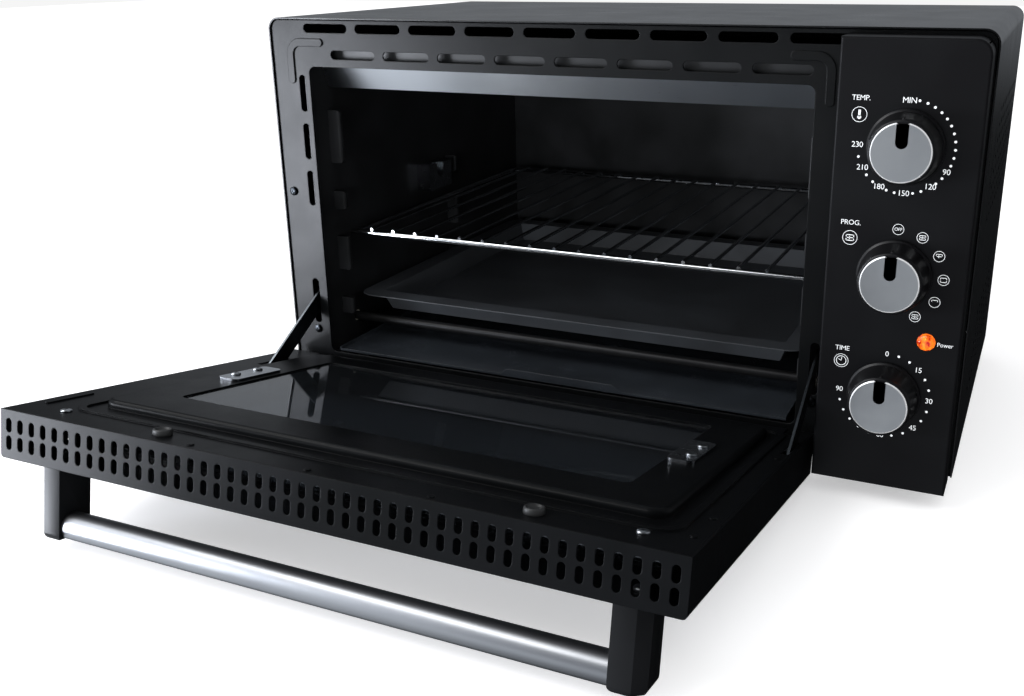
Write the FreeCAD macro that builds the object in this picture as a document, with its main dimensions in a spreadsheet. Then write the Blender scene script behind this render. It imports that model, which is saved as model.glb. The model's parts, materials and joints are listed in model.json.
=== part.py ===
"""Countertop mini oven with a drop-down door: a parametric FreeCAD assembly.

Two local frames are used, both in millimetres.
Oven frame: X across the width from the shell's middle, Y from the front frame's
face towards the back, Z up from the shell's underside.
Door frame: X as above, Y and Z from the door's hinge axis with the door shut.
Every finished piece is then placed in the part's own frame, which stands on the
worktop with the door resting open on its stay arms.
"""
import FreeCAD
import Part
import Sketcher
import math
import os
import re

from FreeCAD import Placement, Rotation, Vector

SIZES = {
    # outer casing
    "shell_width": 500, "shell_height": 272.8, "shell_depth": 291, "shell_corner": 9,
    "sheet": 1.0, "flange": 12, "base_height": 15, "front_face_y": -39.37,
    "frame_half": 248.4, "frame_low": 1.3, "frame_top": 271.2, "rib_rise": 1.1,
    # cavity, all centred on the cavity's own middle plane
    "mid_x": -34.25, "open_half": 183.75, "open_low": 18.5, "open_top": 238.5,
    "cavity_half": 188, "cavity_low": 14, "cavity_top": 241, "cavity_back": 340,
    "bulge_half": 200, "bulge_low": 6, "bulge_top": 254, "bulge_back": 356,
    # ventilation slots in the front frame
    "slot_pitch": 44.1, "slot_long": 37, "slot_wide": 6.2, "row_one_z": 265.5, "row_two_z": 247.2,
    "row_one_x": -201.5, "row_two_x": -179.5, "side_slot": 26.5, "side_slot_pitch": 35.3,
    "side_slot_x": -224.6, "side_slot_z": 219,
    # stay arms and door hinge
    "hinge_y": -17.7, "hinge_z": 5.9, "hinge_off": 185.5, "arm_off": 194, "arm_crank": 54,
    "arm_wide": 13, "arm_thick": 1.6, "arm_tail": 15, "pin_rad": 2.5, "stay_pin_rad": 2.0,
    "run_gap": 0.05, "ear_thick": 2.5,
    "channel_in": 180.7, "channel_out": 196.6, "channel_sheet": 1.2, "door_open_deg": 78.67,
    # door
    "door_left": -248.6, "door_right": 164.5, "door_low": -7.4, "door_top": 260.4,
    "door_in": 14, "door_out": -14.7, "plateau_half_left": 177.5, "plateau_half_right": 174.5,
    "plateau_low": 14.5, "plateau_top": 222.9, "plateau_rise": 5,
    "window_left": -181.5, "window_right": 109.5, "window_low": 39, "window_top": 190.6,
    "glass": 4, "grille_return": 47, "vent_pitch": 8.89, "vent_first": 6.5, "vent_rad": 2.1,
    "pan_bend": 2.4, "seam_gap": 0.6,
    "vent_straight": 4.1, "vent_row_one": 4.95, "vent_row_two": -5.3,
    # handle
    "bar_rad": 8.25, "bar_y": -53.1, "bar_z": 242.9, "bracket_low": 230, "bracket_top": 252.4,
    "bracket_out": -61.5, "bracket_off": 169.5, "bracket_wide": 18, "bracket_bevel": 6,
    # control panel
    "panel_left": 167, "panel_right": 247.8, "panel_low": -2.3, "panel_high": 268.9,
    "panel_proud": 25.4, "panel_wall": 2.4, "panel_corner": 9,
    "knob_x": 207.2, "temp_z": 209, "prog_z": 134, "time_z": 58.5, "lamp_x": 228.7, "lamp_z": 95.6,
    "shaft_rad": 3, "shaft_front": -40, "shaft_back": 20, "switch_front": 2.2,
    "knob_rad": 21.5, "knob_top_rad": 18, "knob_high": 20, "knob_gap": 0.8,
    "cap_rad": 16.7, "cap_thick": 1.4, "notch_wide": 5.4, "notch_end": 5.6,
    # racks and trays
    "rack_half": 180.5, "rack_front": 34, "rack_deep": 282, "rack_z": 108.6, "rack_wire": 2.2,
    "rod_rad": 1.3, "rod_pitch": 19.61, "rod_count": 17, "rod_shift": -4.35, "rack_corner": 16,
    "tray_rim_z": 56.2, "tray_floor_z": 41, "tray_body_half": 166, "tray_sheet": 0.8,
    "crumb_z": 19.1, "crumb_back": 330, "crumb_tab": 6,
    # heaters and rotisserie drive
    "heater_rad": 3.5, "heater_low_z": 34.5, "heater_high_z": 224, "heater_front_y": 44,
    "heater_rear_y": 262, "spit_y": 165, "spit_z": 134, "spit_rad": 4,
}

doc = FreeCAD.newDocument("MiniOven")
sheet = doc.addObject("Spreadsheet::Sheet", "Sizes")
for row_number, (alias, value) in enumerate(SIZES.items(), start=1):
    sheet.set(f"A{row_number}", alias)
    sheet.set(f"B{row_number}", str(value))
    sheet.setAlias(f"B{row_number}", alias)
doc.recompute()

ALONG_X = Rotation(Vector(0, 1, 0), 90)
ALONG_Y = Rotation(Vector(1, 0, 0), -90)
ALONG_Z = Rotation()
UPRIGHT = Rotation(Vector(1, 0, 0), 90)

finished = []


def bound(formula):
    """Turn a formula of plain size names into one that reads the sheet's cells."""
    return re.sub(r"[a-z][a-z_]+", named_cell, str(formula))


def named_cell(word):
    """Put the sheet's name before a size name, and leave the words of functions alone."""
    return "Sizes." + word.group(0) if word.group(0) in SIZES else word.group(0)


def size(formula):
    """Return the present value of a formula of size names."""
    return float(sheet.evalExpression(bound(formula)))


def set_base(item, x, y, z):
    """Bind the three coordinates of an object's placement to the sheet."""
    for axis, formula in zip("xyz", (x, y, z)):
        item.setExpression(f"Placement.Base.{axis}", bound(formula))


def box(x, y, z, wide, deep, high, name="Block"):
    """Make a block from its lowest corner and its three sizes."""
    item = doc.addObject("Part::Box", name)
    item.setExpression("Length", bound(wide))
    item.setExpression("Width", bound(deep))
    item.setExpression("Height", bound(high))
    set_base(item, x, y, z)
    return item


def rod(x, y, z, radius, length, along=ALONG_Z, name="Rod"):
    """Make a round rod from the middle of its first end."""
    item = doc.addObject("Part::Cylinder", name)
    item.setExpression("Radius", bound(radius))
    item.setExpression("Height", bound(length))
    item.Placement = Placement(Vector(), along)
    set_base(item, x, y, z)
    return item


def cone(x, y, z, first, second, length, along=ALONG_Z, name="Taper"):
    """Make a cone frustum from the middle of its first end."""
    item = doc.addObject("Part::Cone", name)
    item.setExpression("Radius1", bound(first))
    item.setExpression("Radius2", bound(second))
    item.setExpression("Height", bound(length))
    item.Placement = Placement(Vector(), along)
    set_base(item, x, y, z)
    return item


def fuse(pieces, name="Joined"):
    """Join pieces into one solid."""
    if len(pieces) == 1:
        return pieces[0]
    item = doc.addObject("Part::MultiFuse", name)
    item.Shapes = pieces
    item.Refine = True
    return item


def cut(base, tools, name="Cut"):
    """Take every tool away from the base."""
    item = doc.addObject("Part::Cut", name)
    item.Base = base
    item.Tool = fuse(tools, "Tools") if len(tools) < 30 else group(tools, "Tools")
    item.Refine = True
    return item


def group(pieces, name="Group"):
    """Keep separate solids together in one object."""
    item = doc.addObject("Part::Compound", name)
    item.Links = pieces
    return item


def rounded(base, radius, wanted, name="Rounded"):
    """Round the edges of base for which wanted(edge) is true."""
    doc.recompute()
    numbers = [index + 1 for index, edge in enumerate(base.Shape.Edges) if wanted(edge)]
    if not numbers:
        raise RuntimeError(f"{name}: no edge to round")
    item = doc.addObject("Part::Fillet", name)
    item.Base = base
    item.Edges = [(number, size(radius), size(radius)) for number in numbers]
    return item


def slot(x, y, z, length, wide, deep, upright=False):
    """Make a round-ended cutter through a sheet, centred at x and z, running from y."""
    straight = f"({length}) - ({wide})"
    if upright:
        middle = box(f"({x}) - ({wide}) / 2", y, f"({z}) - ({straight}) / 2", wide, deep, straight)
        ends = [rod(x, y, f"({z}) + {side} * ({straight}) / 2", f"({wide}) / 2", deep, ALONG_Y)
                for side in (-1, 1)]
    else:
        middle = box(f"({x}) - ({straight}) / 2", y, f"({z}) - ({wide}) / 2", straight, deep, wide)
        ends = [rod(f"({x}) + {side} * ({straight}) / 2", y, z, f"({wide}) / 2", deep, ALONG_Y)
                for side in (-1, 1)]
    return fuse([middle] + ends, "Slot")


def oven_place():
    """The placement of the oven frame in the part's frame."""
    return Placement(Vector(0, size("front_face_y"), size("base_height")), Rotation())


def door_place():
    """The placement of the door frame in the part's frame, with the door turned down open."""
    hinge = Vector(0, size("front_face_y + hinge_y"), size("base_height + hinge_z"))
    return Placement(hinge, Rotation(Vector(1, 0, 0), size("door_open_deg")))


def finish(pieces, label, placement):
    """Gather one node's solids, label and place them, and list them to be written."""
    item = group(pieces, "Held")
    item.Label = label
    item.Placement = placement
    finished.append(item)


def in_oven(item, label):
    """Finish a piece drawn in the oven frame."""
    finish([item], label, oven_place())


def on_door(item, label):
    """Finish a piece drawn in the door frame."""
    finish([item], label, door_place())


def body_with_sketch(name, role, offset=None):
    """Start a PartDesign body and a sketch on one of its origin planes."""
    body = doc.addObject("PartDesign::Body", name)
    return body, add_sketch(body, role, offset)


def add_sketch(body, role, offset=None):
    """Add a sketch on an origin plane of the body, moved along the plane's normal."""
    drawing = body.newObject("Sketcher::SketchObject", "Outline")
    plane = next(item for item in body.Origin.OriginFeatures if item.Role == role)
    drawing.AttachmentSupport = [(plane, "")]
    drawing.MapMode = "FlatFace"
    if offset is not None:
        drawing.setExpression("AttachmentOffset.Base.z", bound(offset))
    return drawing


def drawn_frame(drawing, left, low, right, top):
    """Draw a fully constrained rectangle, every side bound to the sheet."""
    x0, y0, x1, y1 = (size(value) for value in (left, low, right, top))
    corners = [Vector(x0, y0, 0), Vector(x1, y0, 0), Vector(x1, y1, 0), Vector(x0, y1, 0)]
    first = drawing.GeometryCount
    for index in range(4):
        drawing.addGeometry(Part.LineSegment(corners[index], corners[(index + 1) % 4]), False)
    for index in range(4):
        drawing.addConstraint(Sketcher.Constraint(
            "Coincident", first + index, 2, first + (index + 1) % 4, 1))
        level = "Horizontal" if index % 2 == 0 else "Vertical"
        drawing.addConstraint(Sketcher.Constraint(level, first + index))
    hold_point(drawing, first, 1, left, low)
    hold_point(drawing, first + 2, 1, right, top)


def hold_point(drawing, piece, end, x, y):
    """Hold a point of the sketch at bound distances from the sketch's origin."""
    for kind, formula in (("DistanceX", x), ("DistanceY", y)):
        number = drawing.addConstraint(Sketcher.Constraint(kind, -1, 1, piece, end, size(formula)))
        drawing.setExpression(f"Constraints[{number}]", bound(formula))


def drawn_outline(drawing, points):
    """Draw a closed outline of straight sides through points bound to the sheet."""
    places = [Vector(size(x), size(y), 0) for x, y in points]
    count = len(places)
    first = drawing.GeometryCount
    for index in range(count):
        drawing.addGeometry(Part.LineSegment(places[index], places[(index + 1) % count]), False)
    for index in range(count):
        drawing.addConstraint(Sketcher.Constraint(
            "Coincident", first + index, 2, first + (index + 1) % count, 1))
    for index, (x, y) in enumerate(points):
        hold_point(drawing, first + index, 1, x, y)


def drawn_slot(drawing, x, y, straight, radius):
    """Draw an upright round-ended slot, bound to the sheet."""
    x_at, y_at, half, rad = size(x), size(y), size(straight) / 2, size(radius)
    first = drawing.GeometryCount
    upper = Part.Circle(Vector(x_at, y_at + half, 0), Vector(0, 0, 1), rad)
    lower = Part.Circle(Vector(x_at, y_at - half, 0), Vector(0, 0, 1), rad)
    drawing.addGeometry(Part.ArcOfCircle(upper, 0, math.pi), False)
    drawing.addGeometry(Part.ArcOfCircle(lower, math.pi, 2 * math.pi), False)
    drawing.addGeometry(Part.LineSegment(
        Vector(x_at - rad, y_at + half, 0), Vector(x_at - rad, y_at - half, 0)), False)
    drawing.addGeometry(Part.LineSegment(
        Vector(x_at + rad, y_at - half, 0), Vector(x_at + rad, y_at + half, 0)), False)
    for arc, arc_end, line, line_end in ((0, 2, 2, 1), (1, 1, 2, 2), (1, 2, 3, 1), (0, 1, 3, 2)):
        drawing.addConstraint(Sketcher.Constraint(
            "Tangent", first + arc, arc_end, first + line, line_end))
    drawing.addConstraint(Sketcher.Constraint("Vertical", first + 2))
    hold_point(drawing, first, 3, x, f"({y}) + ({straight}) / 2")
    number = drawing.addConstraint(Sketcher.Constraint(
        "DistanceY", first + 1, 3, first, 3, size(straight)))
    drawing.setExpression(f"Constraints[{number}]", bound(straight))
    number = drawing.addConstraint(Sketcher.Constraint("Radius", first, size(radius)))
    drawing.setExpression(f"Constraints[{number}]", bound(radius))


def padded(body, drawing, thick, name="Pad"):
    """Pad a sketch by a bound length."""
    pad = body.newObject("PartDesign::Pad", name)
    pad.Profile = drawing
    pad.setExpression("Length", bound(thick))
    body.Tip = pad
    return pad


def pocketed(body, drawing, deep, reverse=False, name="Pocket"):
    """Cut a sketch into the body by a bound depth, and check that it cut."""
    doc.recompute()
    before = body.Shape.Volume
    pocket = body.newObject("PartDesign::Pocket", name)
    pocket.Profile = drawing
    pocket.setExpression("Length", bound(deep))
    pocket.Reversed = reverse
    body.Tip = pocket
    doc.recompute()
    if body.Shape.Volume >= before - 0.01:
        raise RuntimeError(f"{body.Name}: {name} cut nothing")
    return pocket


def repeated(body, feature, drawing, axis, length, count):
    """Repeat a feature along one of its sketch's axes."""
    pattern = body.newObject("PartDesign::LinearPattern", "Row")
    pattern.Originals = [feature]
    pattern.Direction = (drawing, [axis])
    pattern.setExpression("Length", bound(length))
    pattern.Occurrences = count
    body.Tip = pattern
    doc.recompute()
    return pattern


def revolved(name, points):
    """Turn an outline of radius and height about the body's Y axis."""
    body, drawing = body_with_sketch(name, "XY_Plane")
    drawn_outline(drawing, points)
    turn = body.newObject("PartDesign::Revolution", "Turned")
    turn.Profile = drawing
    turn.ReferenceAxis = (drawing, ["V_Axis"])
    turn.Angle = 360
    body.Tip = turn
    doc.recompute()
    return body


# ---------------------------------------------------------------- casing

def runs_back(edge):
    """Tell whether an edge runs along Y."""
    ends = [vertex.Point for vertex in edge.Vertexes]
    return len(ends) == 2 and abs(ends[0].x - ends[1].x) < 0.01 and abs(ends[0].z - ends[1].z) < 0.01


def outer_shell():
    """The wrap: two sides and the top from one sheet, with louvre slots and bottom flanges."""
    half = "shell_width / 2"
    full = box(f"-{half}", "-1.5", 0, "shell_width", "shell_depth", "shell_height", "Wrap")
    high = size("shell_height") / 2
    full = rounded(full, "shell_corner", lambda edge: runs_back(edge) and edge.CenterOfMass.z > high)
    inner = box(f"-{half} + sheet", -10, -1, "shell_width - 2 * sheet", "shell_depth + 20",
                "shell_height - sheet + 1", "WrapInside")
    inner = rounded(inner, "shell_corner - sheet",
                    lambda edge: runs_back(edge) and edge.CenterOfMass.z > high)
    tools = [inner]
    for first_z, rows in ((152, 8), (36, 6)):
        for row in range(rows):
            for column in range(10):
                tools.append(louvre(62 + 18 * column + 4 * row, first_z + 9.5 * row))
    wrap = cut(full, tools, "WrapSheet")
    flanges = [box(f"{side} * ({half} - sheet / 2 - flange / 2) - flange / 2", 0.2, 0,
                   "flange", "shell_depth - 1.7", "sheet") for side in (-1, 1)]
    in_oven(fuse([wrap] + flanges, "Shell"), "outer_shell")


def louvre(y, z):
    """A slanted cooling slot cut through both sides of the wrap."""
    cutter = box("-shell_width / 2 - 5", y, z, "shell_width + 10", 9, 2.6, "Louvre")
    cutter.Placement.Rotation = Rotation(Vector(1, 0, 0), -24)
    return cutter


def base_plate():
    """The bottom sheet, lying on the wrap's flanges, with rows of air slots."""
    plate = box("-frame_half", 6.5, "sheet", "2 * frame_half", "shell_depth - 10", "sheet", "Base")
    tools = []
    for row in range(4):
        for column in range(9):
            tools.append(box(-190 + 42 * column, 60 + 50 * row, 0, 28, 6, 4, "AirSlot"))
    for x, y in foot_places():
        tools.append(rod(x, y, 0, 2.2, 4, ALONG_Z))
    in_oven(cut(plate, tools, "BasePlate"), "base_plate")


def foot_places():
    """Where the four feet stand under the base plate."""
    return [(x, y) for y in (30, 255) for x in (-212, 212)]


def feet():
    """Four moulded feet, each with its own screw."""
    bodies = []
    for x, y in foot_places():
        solid = cone(x, y, "-base_height", 10.5, 12.5, "base_height + sheet", ALONG_Z, "Foot")
        hollow = rod(x, y, "-base_height - 1", 5, 8, ALONG_Z)
        bore = rod(x, y, -12, 1.9, 20, ALONG_Z)
        bodies.append(cut(solid, [hollow, bore], "FootBody"))
    finish(bodies, "feet", oven_place())
    screws = [fuse([rod(x, y, -6, 1.9, 11, ALONG_Z), rod(x, y, -8, 3.6, 2, ALONG_Z)], "FootScrew")
              for x, y in foot_places()]
    finish(screws, "foot_screws", oven_place())


def front_frame():
    """The pressed front sheet: door opening, control opening, cooling slots and flanges."""
    deep = 6
    face = box("-frame_half", 0, "frame_low", "2 * frame_half", deep, "frame_top - frame_low", "Face")
    middle = size("(frame_top + frame_low) / 2")
    face = rounded(face, "shell_corner - 2 * sheet",
                   lambda edge: runs_back(edge) and edge.CenterOfMass.z > middle)
    hollow = box("-frame_half + sheet", "sheet", "frame_low + sheet", "2 * frame_half - 2 * sheet",
                 deep + 1, "frame_top - frame_low - 2 * sheet", "FaceInside")
    opening = box("mid_x - open_half", -2, "open_low", "2 * open_half", 10, "open_top - open_low")
    opening = rounded(opening, 5, runs_back)
    tools = [hollow, opening, box("panel_left + 5", -2, 10, 70, 10, 250, "ControlWindow")]
    for number in range(9):
        tools.append(slot(f"row_one_x + {number} * slot_pitch", -2, "row_one_z", "slot_long",
                          "slot_wide", 6))
    for number in range(8):
        tools.append(slot(f"row_two_x + {number} * slot_pitch", -2, "row_two_z", "slot_long",
                          "slot_wide", 6))
    for number in range(3):
        tools.append(slot("side_slot_x", -2, f"side_slot_z - {number} * side_slot_pitch",
                          "side_slot", 5.6, 6, upright=True))
    for side in (-1, 1):
        tools.append(slot(f"mid_x + {side} * arm_off", -2, 59, 36, 6, 6, upright=True))
        tools.append(box(f"mid_x + {side} * hinge_off - 2.2", -2, 1.6, 4.4, 6, 10, "EarHole"))
    sheet_part = cut(face, tools, "FrameSheet")
    ribs = [corner_rib(-1), corner_rib(1)]
    in_oven(fuse([sheet_part] + ribs, "Frame"), "front_frame")


def corner_rib(side):
    """A pressed stiffening rib that turns the corner above the opening."""
    wide, bend, low, high = 5.4, 9, 229, 255.6
    reach = 17 if side < 0 else 13
    outer, inner = bend + wide / 2, bend - wide / 2
    middle = -233 if side < 0 else 158.5
    turn = middle - side * bend
    foot = rod(middle, "-rib_rise", low, wide / 2, "rib_rise + 0.2", ALONG_Y)
    upright = box(middle - wide / 2, "-rib_rise", low, wide, "rib_rise + 0.2", high - bend - low)
    start = turn if side < 0 else turn - reach
    flat = box(start, "-rib_rise", high - wide / 2, reach, "rib_rise + 0.2", wide)
    tip = rod(turn - side * reach, "-rib_rise", high, wide / 2, "rib_rise + 0.2", ALONG_Y)
    disc = rod(turn, "-rib_rise", high - bend, outer, "rib_rise + 0.2", ALONG_Y)
    hole = rod(turn, -3, high - bend, inner, 6, ALONG_Y)
    corner = box(turn - outer if side < 0 else turn, -3, high - bend, outer, 6, outer)
    quarter = doc.addObject("Part::MultiCommon", "RibCorner")
    quarter.Shapes = [cut(disc, [hole], "RibRing"), corner]
    return fuse([foot, upright, flat, tip, quarter], "Rib")


def rear_cover():
    """The back sheet with its pressed bulge, air slots and the hole for the mains gland."""
    start = "shell_depth - 3.5"
    plate = box("-frame_half", start, 2.2, "2 * frame_half", "sheet", 268, "BackSheet")
    plate = rounded(plate, "shell_corner", lambda edge: runs_back(edge) and edge.CenterOfMass.z > 136)
    bulge = box("mid_x - bulge_half", start, "bulge_low", "2 * bulge_half",
                "bulge_back - shell_depth + 3.5", "bulge_top - bulge_low", "Bulge")
    bulge = rounded(bulge, 12, lambda edge: edge.CenterOfMass.y > size("bulge_back") - 0.1
                    or runs_back(edge))
    hollow = box("mid_x - bulge_half + sheet", f"{start} - 2", "bulge_low + sheet",
                 "2 * bulge_half - 2 * sheet", "bulge_back - shell_depth + 4.5",
                 "bulge_top - bulge_low - 2 * sheet", "BulgeInside")
    hollow = rounded(hollow, 11, lambda edge: edge.CenterOfMass.y > size("bulge_back") - 1.1
                     or runs_back(edge))
    tools = [hollow]
    for row in range(3):
        for column in range(8):
            tools.append(box(f"mid_x - 160 + {column} * 41", "bulge_back - 3", 214 + 11 * row, 30, 6, 5))
    for row in range(9):
        tools.append(box(182, f"{start} - 3", 70 + 18 * row, 48, 8, 5))
    tools.append(rod(218, f"{start} - 3", 34, 7.2, 8, ALONG_Y))
    in_oven(cut(fuse([plate, bulge]), tools, "RearCover"), "rear_cover")
    body = rod(218, f"{start} - 6", 34, 7.1, 14, ALONG_Y)
    collar = rod(218, f"{start} + 1.05", 34, 10.5, 5, ALONG_Y)
    nut = rod(218, f"{start} - 5", 34, 10, 4.9, ALONG_Y)
    bore = rod(218, f"{start} - 8", 34, 3.6, 20, ALONG_Y)
    in_oven(cut(fuse([body, collar, nut]), [bore], "Gland"), "mains_gland")
    screws = [fuse([rod(x, f"{start} + 1", z, 3.6, 2, ALONG_Y), rod(x, f"{start} - 8", z, 1.7, 9.5, ALONG_Y)])
              for x in (-241, 241) for z in (20, 136, 252)]
    finish(screws, "rear_cover_screws", oven_place())


def frame_screws():
    """Screws that show on the front frame: one at mid height and one above each hinge."""
    places = [(-241, 145), (-229, 36), (159.5, 36)]
    screws = [fuse([rod(x, -1.8, z, 3.4, 1.8, ALONG_Y), rod(x, -0.5, z, 1.6, 9, ALONG_Y)])
              for x, z in places]
    finish(screws, "frame_screws", oven_place())


# ---------------------------------------------------------------- cavity

LUG_TOPS = ((56, 13), (106, 27), (142, 14), (204, 40))
LUG_PLACES = (24, 196)
LUG_PROUD = 10


def cavity_walls():
    """Five liner panels; the side walls carry pressed lugs for the rack and the tray."""
    for side, label in ((-1, "cavity_left_wall"), (1, "cavity_right_wall")):
        face = f"mid_x + {side} * (cavity_half + sheet / 2) - sheet / 2"
        wall = box(face, 1.2, "cavity_low", "sheet", "cavity_back - 1.4", "cavity_top - cavity_low")
        tools = [rod(f"{face} - 4", y, z, 4.6, 10, ALONG_X)
                 for y in ("heater_front_y", "heater_rear_y") for z in ("heater_low_z", "heater_high_z")]
        if side > 0:
            tools.append(rod(f"{face} - 4", "spit_y", "spit_z", 6.5, 10, ALONG_X))
        lugs = []
        for top, high in LUG_TOPS:
            places = LUG_PLACES if top < LUG_TOPS[-1][0] else LUG_PLACES[:1]
            for place in places:
                shift = 0 if side < 0 else -LUG_PROUD
                lug = box(f"mid_x + {side} * cavity_half + {shift}", place, top - high, LUG_PROUD, 5,
                          high, "Lug")
                lugs.append(rounded(lug, 1.8, partial_tip(side)))
        in_oven(fuse([cut(wall, tools)] + lugs, "Wall"), label)
    wide = "2 * cavity_half"
    left = "mid_x - cavity_half"
    roof = box(f"{left} - sheet", 1.2, "cavity_top", f"{wide} + 2 * sheet", "cavity_back - 1.4", "sheet")
    upstand = box(f"{left} - sheet", 7.5, "cavity_top", f"{wide} + 2 * sheet", "sheet", 11)
    in_oven(fuse([roof, upstand], "Roof"), "cavity_top_panel")
    floor = box(left, 1.2, "cavity_low", wide, "cavity_back - 2", "sheet")
    rails = [box(f"mid_x + {side} * 160 - 5", 8, "cavity_low", 10, 300, "crumb_z - cavity_low")
             for side in (-1, 1)]
    in_oven(fuse([floor] + rails, "Floor"), "cavity_floor_panel")
    back = box(f"{left} - sheet", "cavity_back", "cavity_low", f"{wide} + 2 * sheet", "sheet",
               "cavity_top - cavity_low + sheet")
    in_oven(fuse([back]), "cavity_back_panel")


def partial_tip(side):
    """Choose the edges at a lug's free end."""
    tip = size(f"mid_x + {side} * (cavity_half - {LUG_PROUD})")
    return lambda edge: abs(edge.CenterOfMass.x - tip) < 0.01


def top_strip():
    """The polished deflector strip across the top of the cavity, tilted back at its foot."""
    item = box("mid_x - cavity_half + 0.6", 19.5, 240, "2 * cavity_half - 1.2", 0.8, 20.6, "Strip")
    tilt = Rotation(Vector(1, 0, 0), 180 + 24)
    item.Placement = Placement(Vector(), tilt)
    set_base(item, "mid_x - cavity_half + 0.6", 20.4, 240)
    in_oven(item, "top_trim_strip")


def heaters():
    """Four tube heaters with ceramic end bushes outside the side walls."""
    bushes = []
    for level, z in (("upper", "heater_high_z"), ("lower", "heater_low_z")):
        tubes = []
        for y in ("heater_front_y", "heater_rear_y"):
            tube = rod("mid_x - cavity_half - 13", y, z, "heater_rad", "2 * cavity_half + 26", ALONG_X)
            pins = [rod(f"mid_x + {side} * (cavity_half + 15.5) - 2.5", y, z, 1.4, 5, ALONG_X)
                    for side in (-1, 1)]
            tubes.append(fuse([tube] + pins, "Heater"))
            for side in (-1, 1):
                bush = rod(f"mid_x + {side} * (cavity_half + 5.5) - 4", y, z, 6.4, 8, ALONG_X)
                hole = rod(f"mid_x + {side} * (cavity_half + 5.5) - 6", y, z, "heater_rad", 12, ALONG_X)
                bushes.append(cut(bush, [hole], "Bush"))
        finish(tubes, f"{level}_heaters", oven_place())
    finish(bushes, "heater_bushes", oven_place())


def rotisserie():
    """The spit support on the left wall and the geared motor with its socket on the right."""
    left = "mid_x - cavity_half"
    bracket = box(left, "spit_y - 18.5", "spit_z - 15", 13, 37, 22, "SpitSupport")
    hollow = box(f"{left} + 0.8", "spit_y - 17.7", "spit_z - 16", 11.4, 35.4, 22.2)
    notch = slot_across(f"{left} - 1", "spit_y", "spit_z", 5.5, 20)
    in_oven(cut(bracket, [hollow, notch], "SpitSupport"), "spit_support")
    wall = "mid_x + cavity_half"
    shaft = rod(f"{wall} - 9", "spit_y", "spit_z", 5.6, 9, ALONG_X)
    stem = rod(f"{wall} - 1", "spit_y", "spit_z", "spit_rad", 14, ALONG_X)
    square = box(f"{wall} - 10", "spit_y - 3.2", "spit_z - 3.2", 8, 6.4, 6.4)
    in_oven(cut(fuse([shaft, stem]), [square], "SpitSocket"), "spit_socket")
    case = rod(f"{wall} + 3", "spit_y", "spit_z - 14", 25, 15, ALONG_X)
    gearbox = box(f"{wall} + 3", "spit_y - 11", "spit_z - 11", 12, 22, 22)
    bore = rod(f"{wall}", "spit_y", "spit_z", "spit_rad + run_gap", 13.6, ALONG_X)
    in_oven(cut(fuse([case, gearbox]), [bore], "SpitMotor"), "spit_motor")


def slot_across(x, y, z, radius, high):
    """An open-topped notch that runs along X."""
    return fuse([rod(x, y, z, radius, 20, ALONG_X), box(x, f"({y}) - {radius}", z, 20, 2 * radius, high)])


# ---------------------------------------------------------------- controls

KNOBS = (("temperature", "temp_z"), ("program", "prog_z"), ("timer", "time_z"))


def control_panel():
    """The moulded control fascia, hollow behind, with holes for three shafts and the lamp."""
    wide = "panel_right - panel_left"
    high = "panel_high - panel_low"
    outer = box("panel_left", "-panel_proud", "panel_low", wide, "panel_proud", high, "Fascia")
    outer = rounded(outer, "panel_corner", lambda edge: runs_back(edge) and edge.CenterOfMass.z > 100
                    and edge.CenterOfMass.x > size("panel_left") + 10)
    front = size("-panel_proud")
    outer = rounded(outer, 1.4, lambda edge: abs(edge.CenterOfMass.y - front) < 0.01)
    inner = box("panel_left + panel_wall", "-panel_proud + panel_wall", "panel_low + panel_wall",
                f"{wide} - 2 * panel_wall", "panel_proud", f"{high} - 2 * panel_wall", "FasciaInside")
    tools = [inner]
    for _, z in KNOBS:
        tools.append(rod("knob_x", "-panel_proud - 3", z, 4.2, 8, ALONG_Y))
    tools.append(rod("lamp_x", "-panel_proud - 3", "lamp_z", 4.7, 8, ALONG_Y))
    in_oven(cut(outer, tools, "ControlPanel"), "control_panel")
    lens = fuse([rod("lamp_x", "-panel_proud - 0.9", "lamp_z", 4.6, 8, ALONG_Y),
                 rod("lamp_x", "-panel_proud - 1.4", "lamp_z", 5.4, 1.35, ALONG_Y),
                 cone("lamp_x", "-panel_proud - 2.8", "lamp_z", 3.2, 4.9, 1.5, ALONG_Y)])
    in_oven(lens, "lamp_lens")
    holder = cut(rod("lamp_x", "-panel_proud + 7.2", "lamp_z", 5.4, 19, ALONG_Y),
                 [rod("lamp_x", "-panel_proud + 6", "lamp_z", 3.4, 16, ALONG_Y)], "LampHolder")
    in_oven(holder, "lamp_holder")


def switches():
    """The bracket behind the panel and the three rotary controls that it carries."""
    plate = box(169, "switch_front - 1.2", 11, 76, 1.2, 252, "Bracket")
    tools = [rod("knob_x", 0, z, 5.3, 8, ALONG_Y) for _, z in KNOBS]
    in_oven(cut(plate, tools, "ControlBracket"), "control_bracket")
    shapes = {"temperature": ("thermostat", 44, 26, 36), "program": ("program_switch", 46, 34, 46),
              "timer": ("timer_movement", 52, 30, 50)}
    for name, z in KNOBS:
        label, wide, deep, high = shapes[name]
        case = box(f"knob_x - {wide / 2}", "switch_front", f"{z} - {high / 2}", wide, deep, high, "Case")
        bush = rod("knob_x", "switch_front - 4", z, 5.2, 5, ALONG_Y)
        bore = rod("knob_x", "switch_front - 5", z, "shaft_rad + run_gap", "shaft_back - switch_front + 6",
                   ALONG_Y)
        in_oven(cut(fuse([case, bush]), [bore], "RotaryControl"), label)
        shaft = rod("knob_x", "shaft_front", z, "shaft_rad", "shaft_back - shaft_front", ALONG_Y)
        flat = box("knob_x - 4", "shaft_front - 1", f"{z} + 1.8", 8, 11, 3)
        in_oven(cut(shaft, [flat], "Shaft"), f"{name}_shaft")


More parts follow.
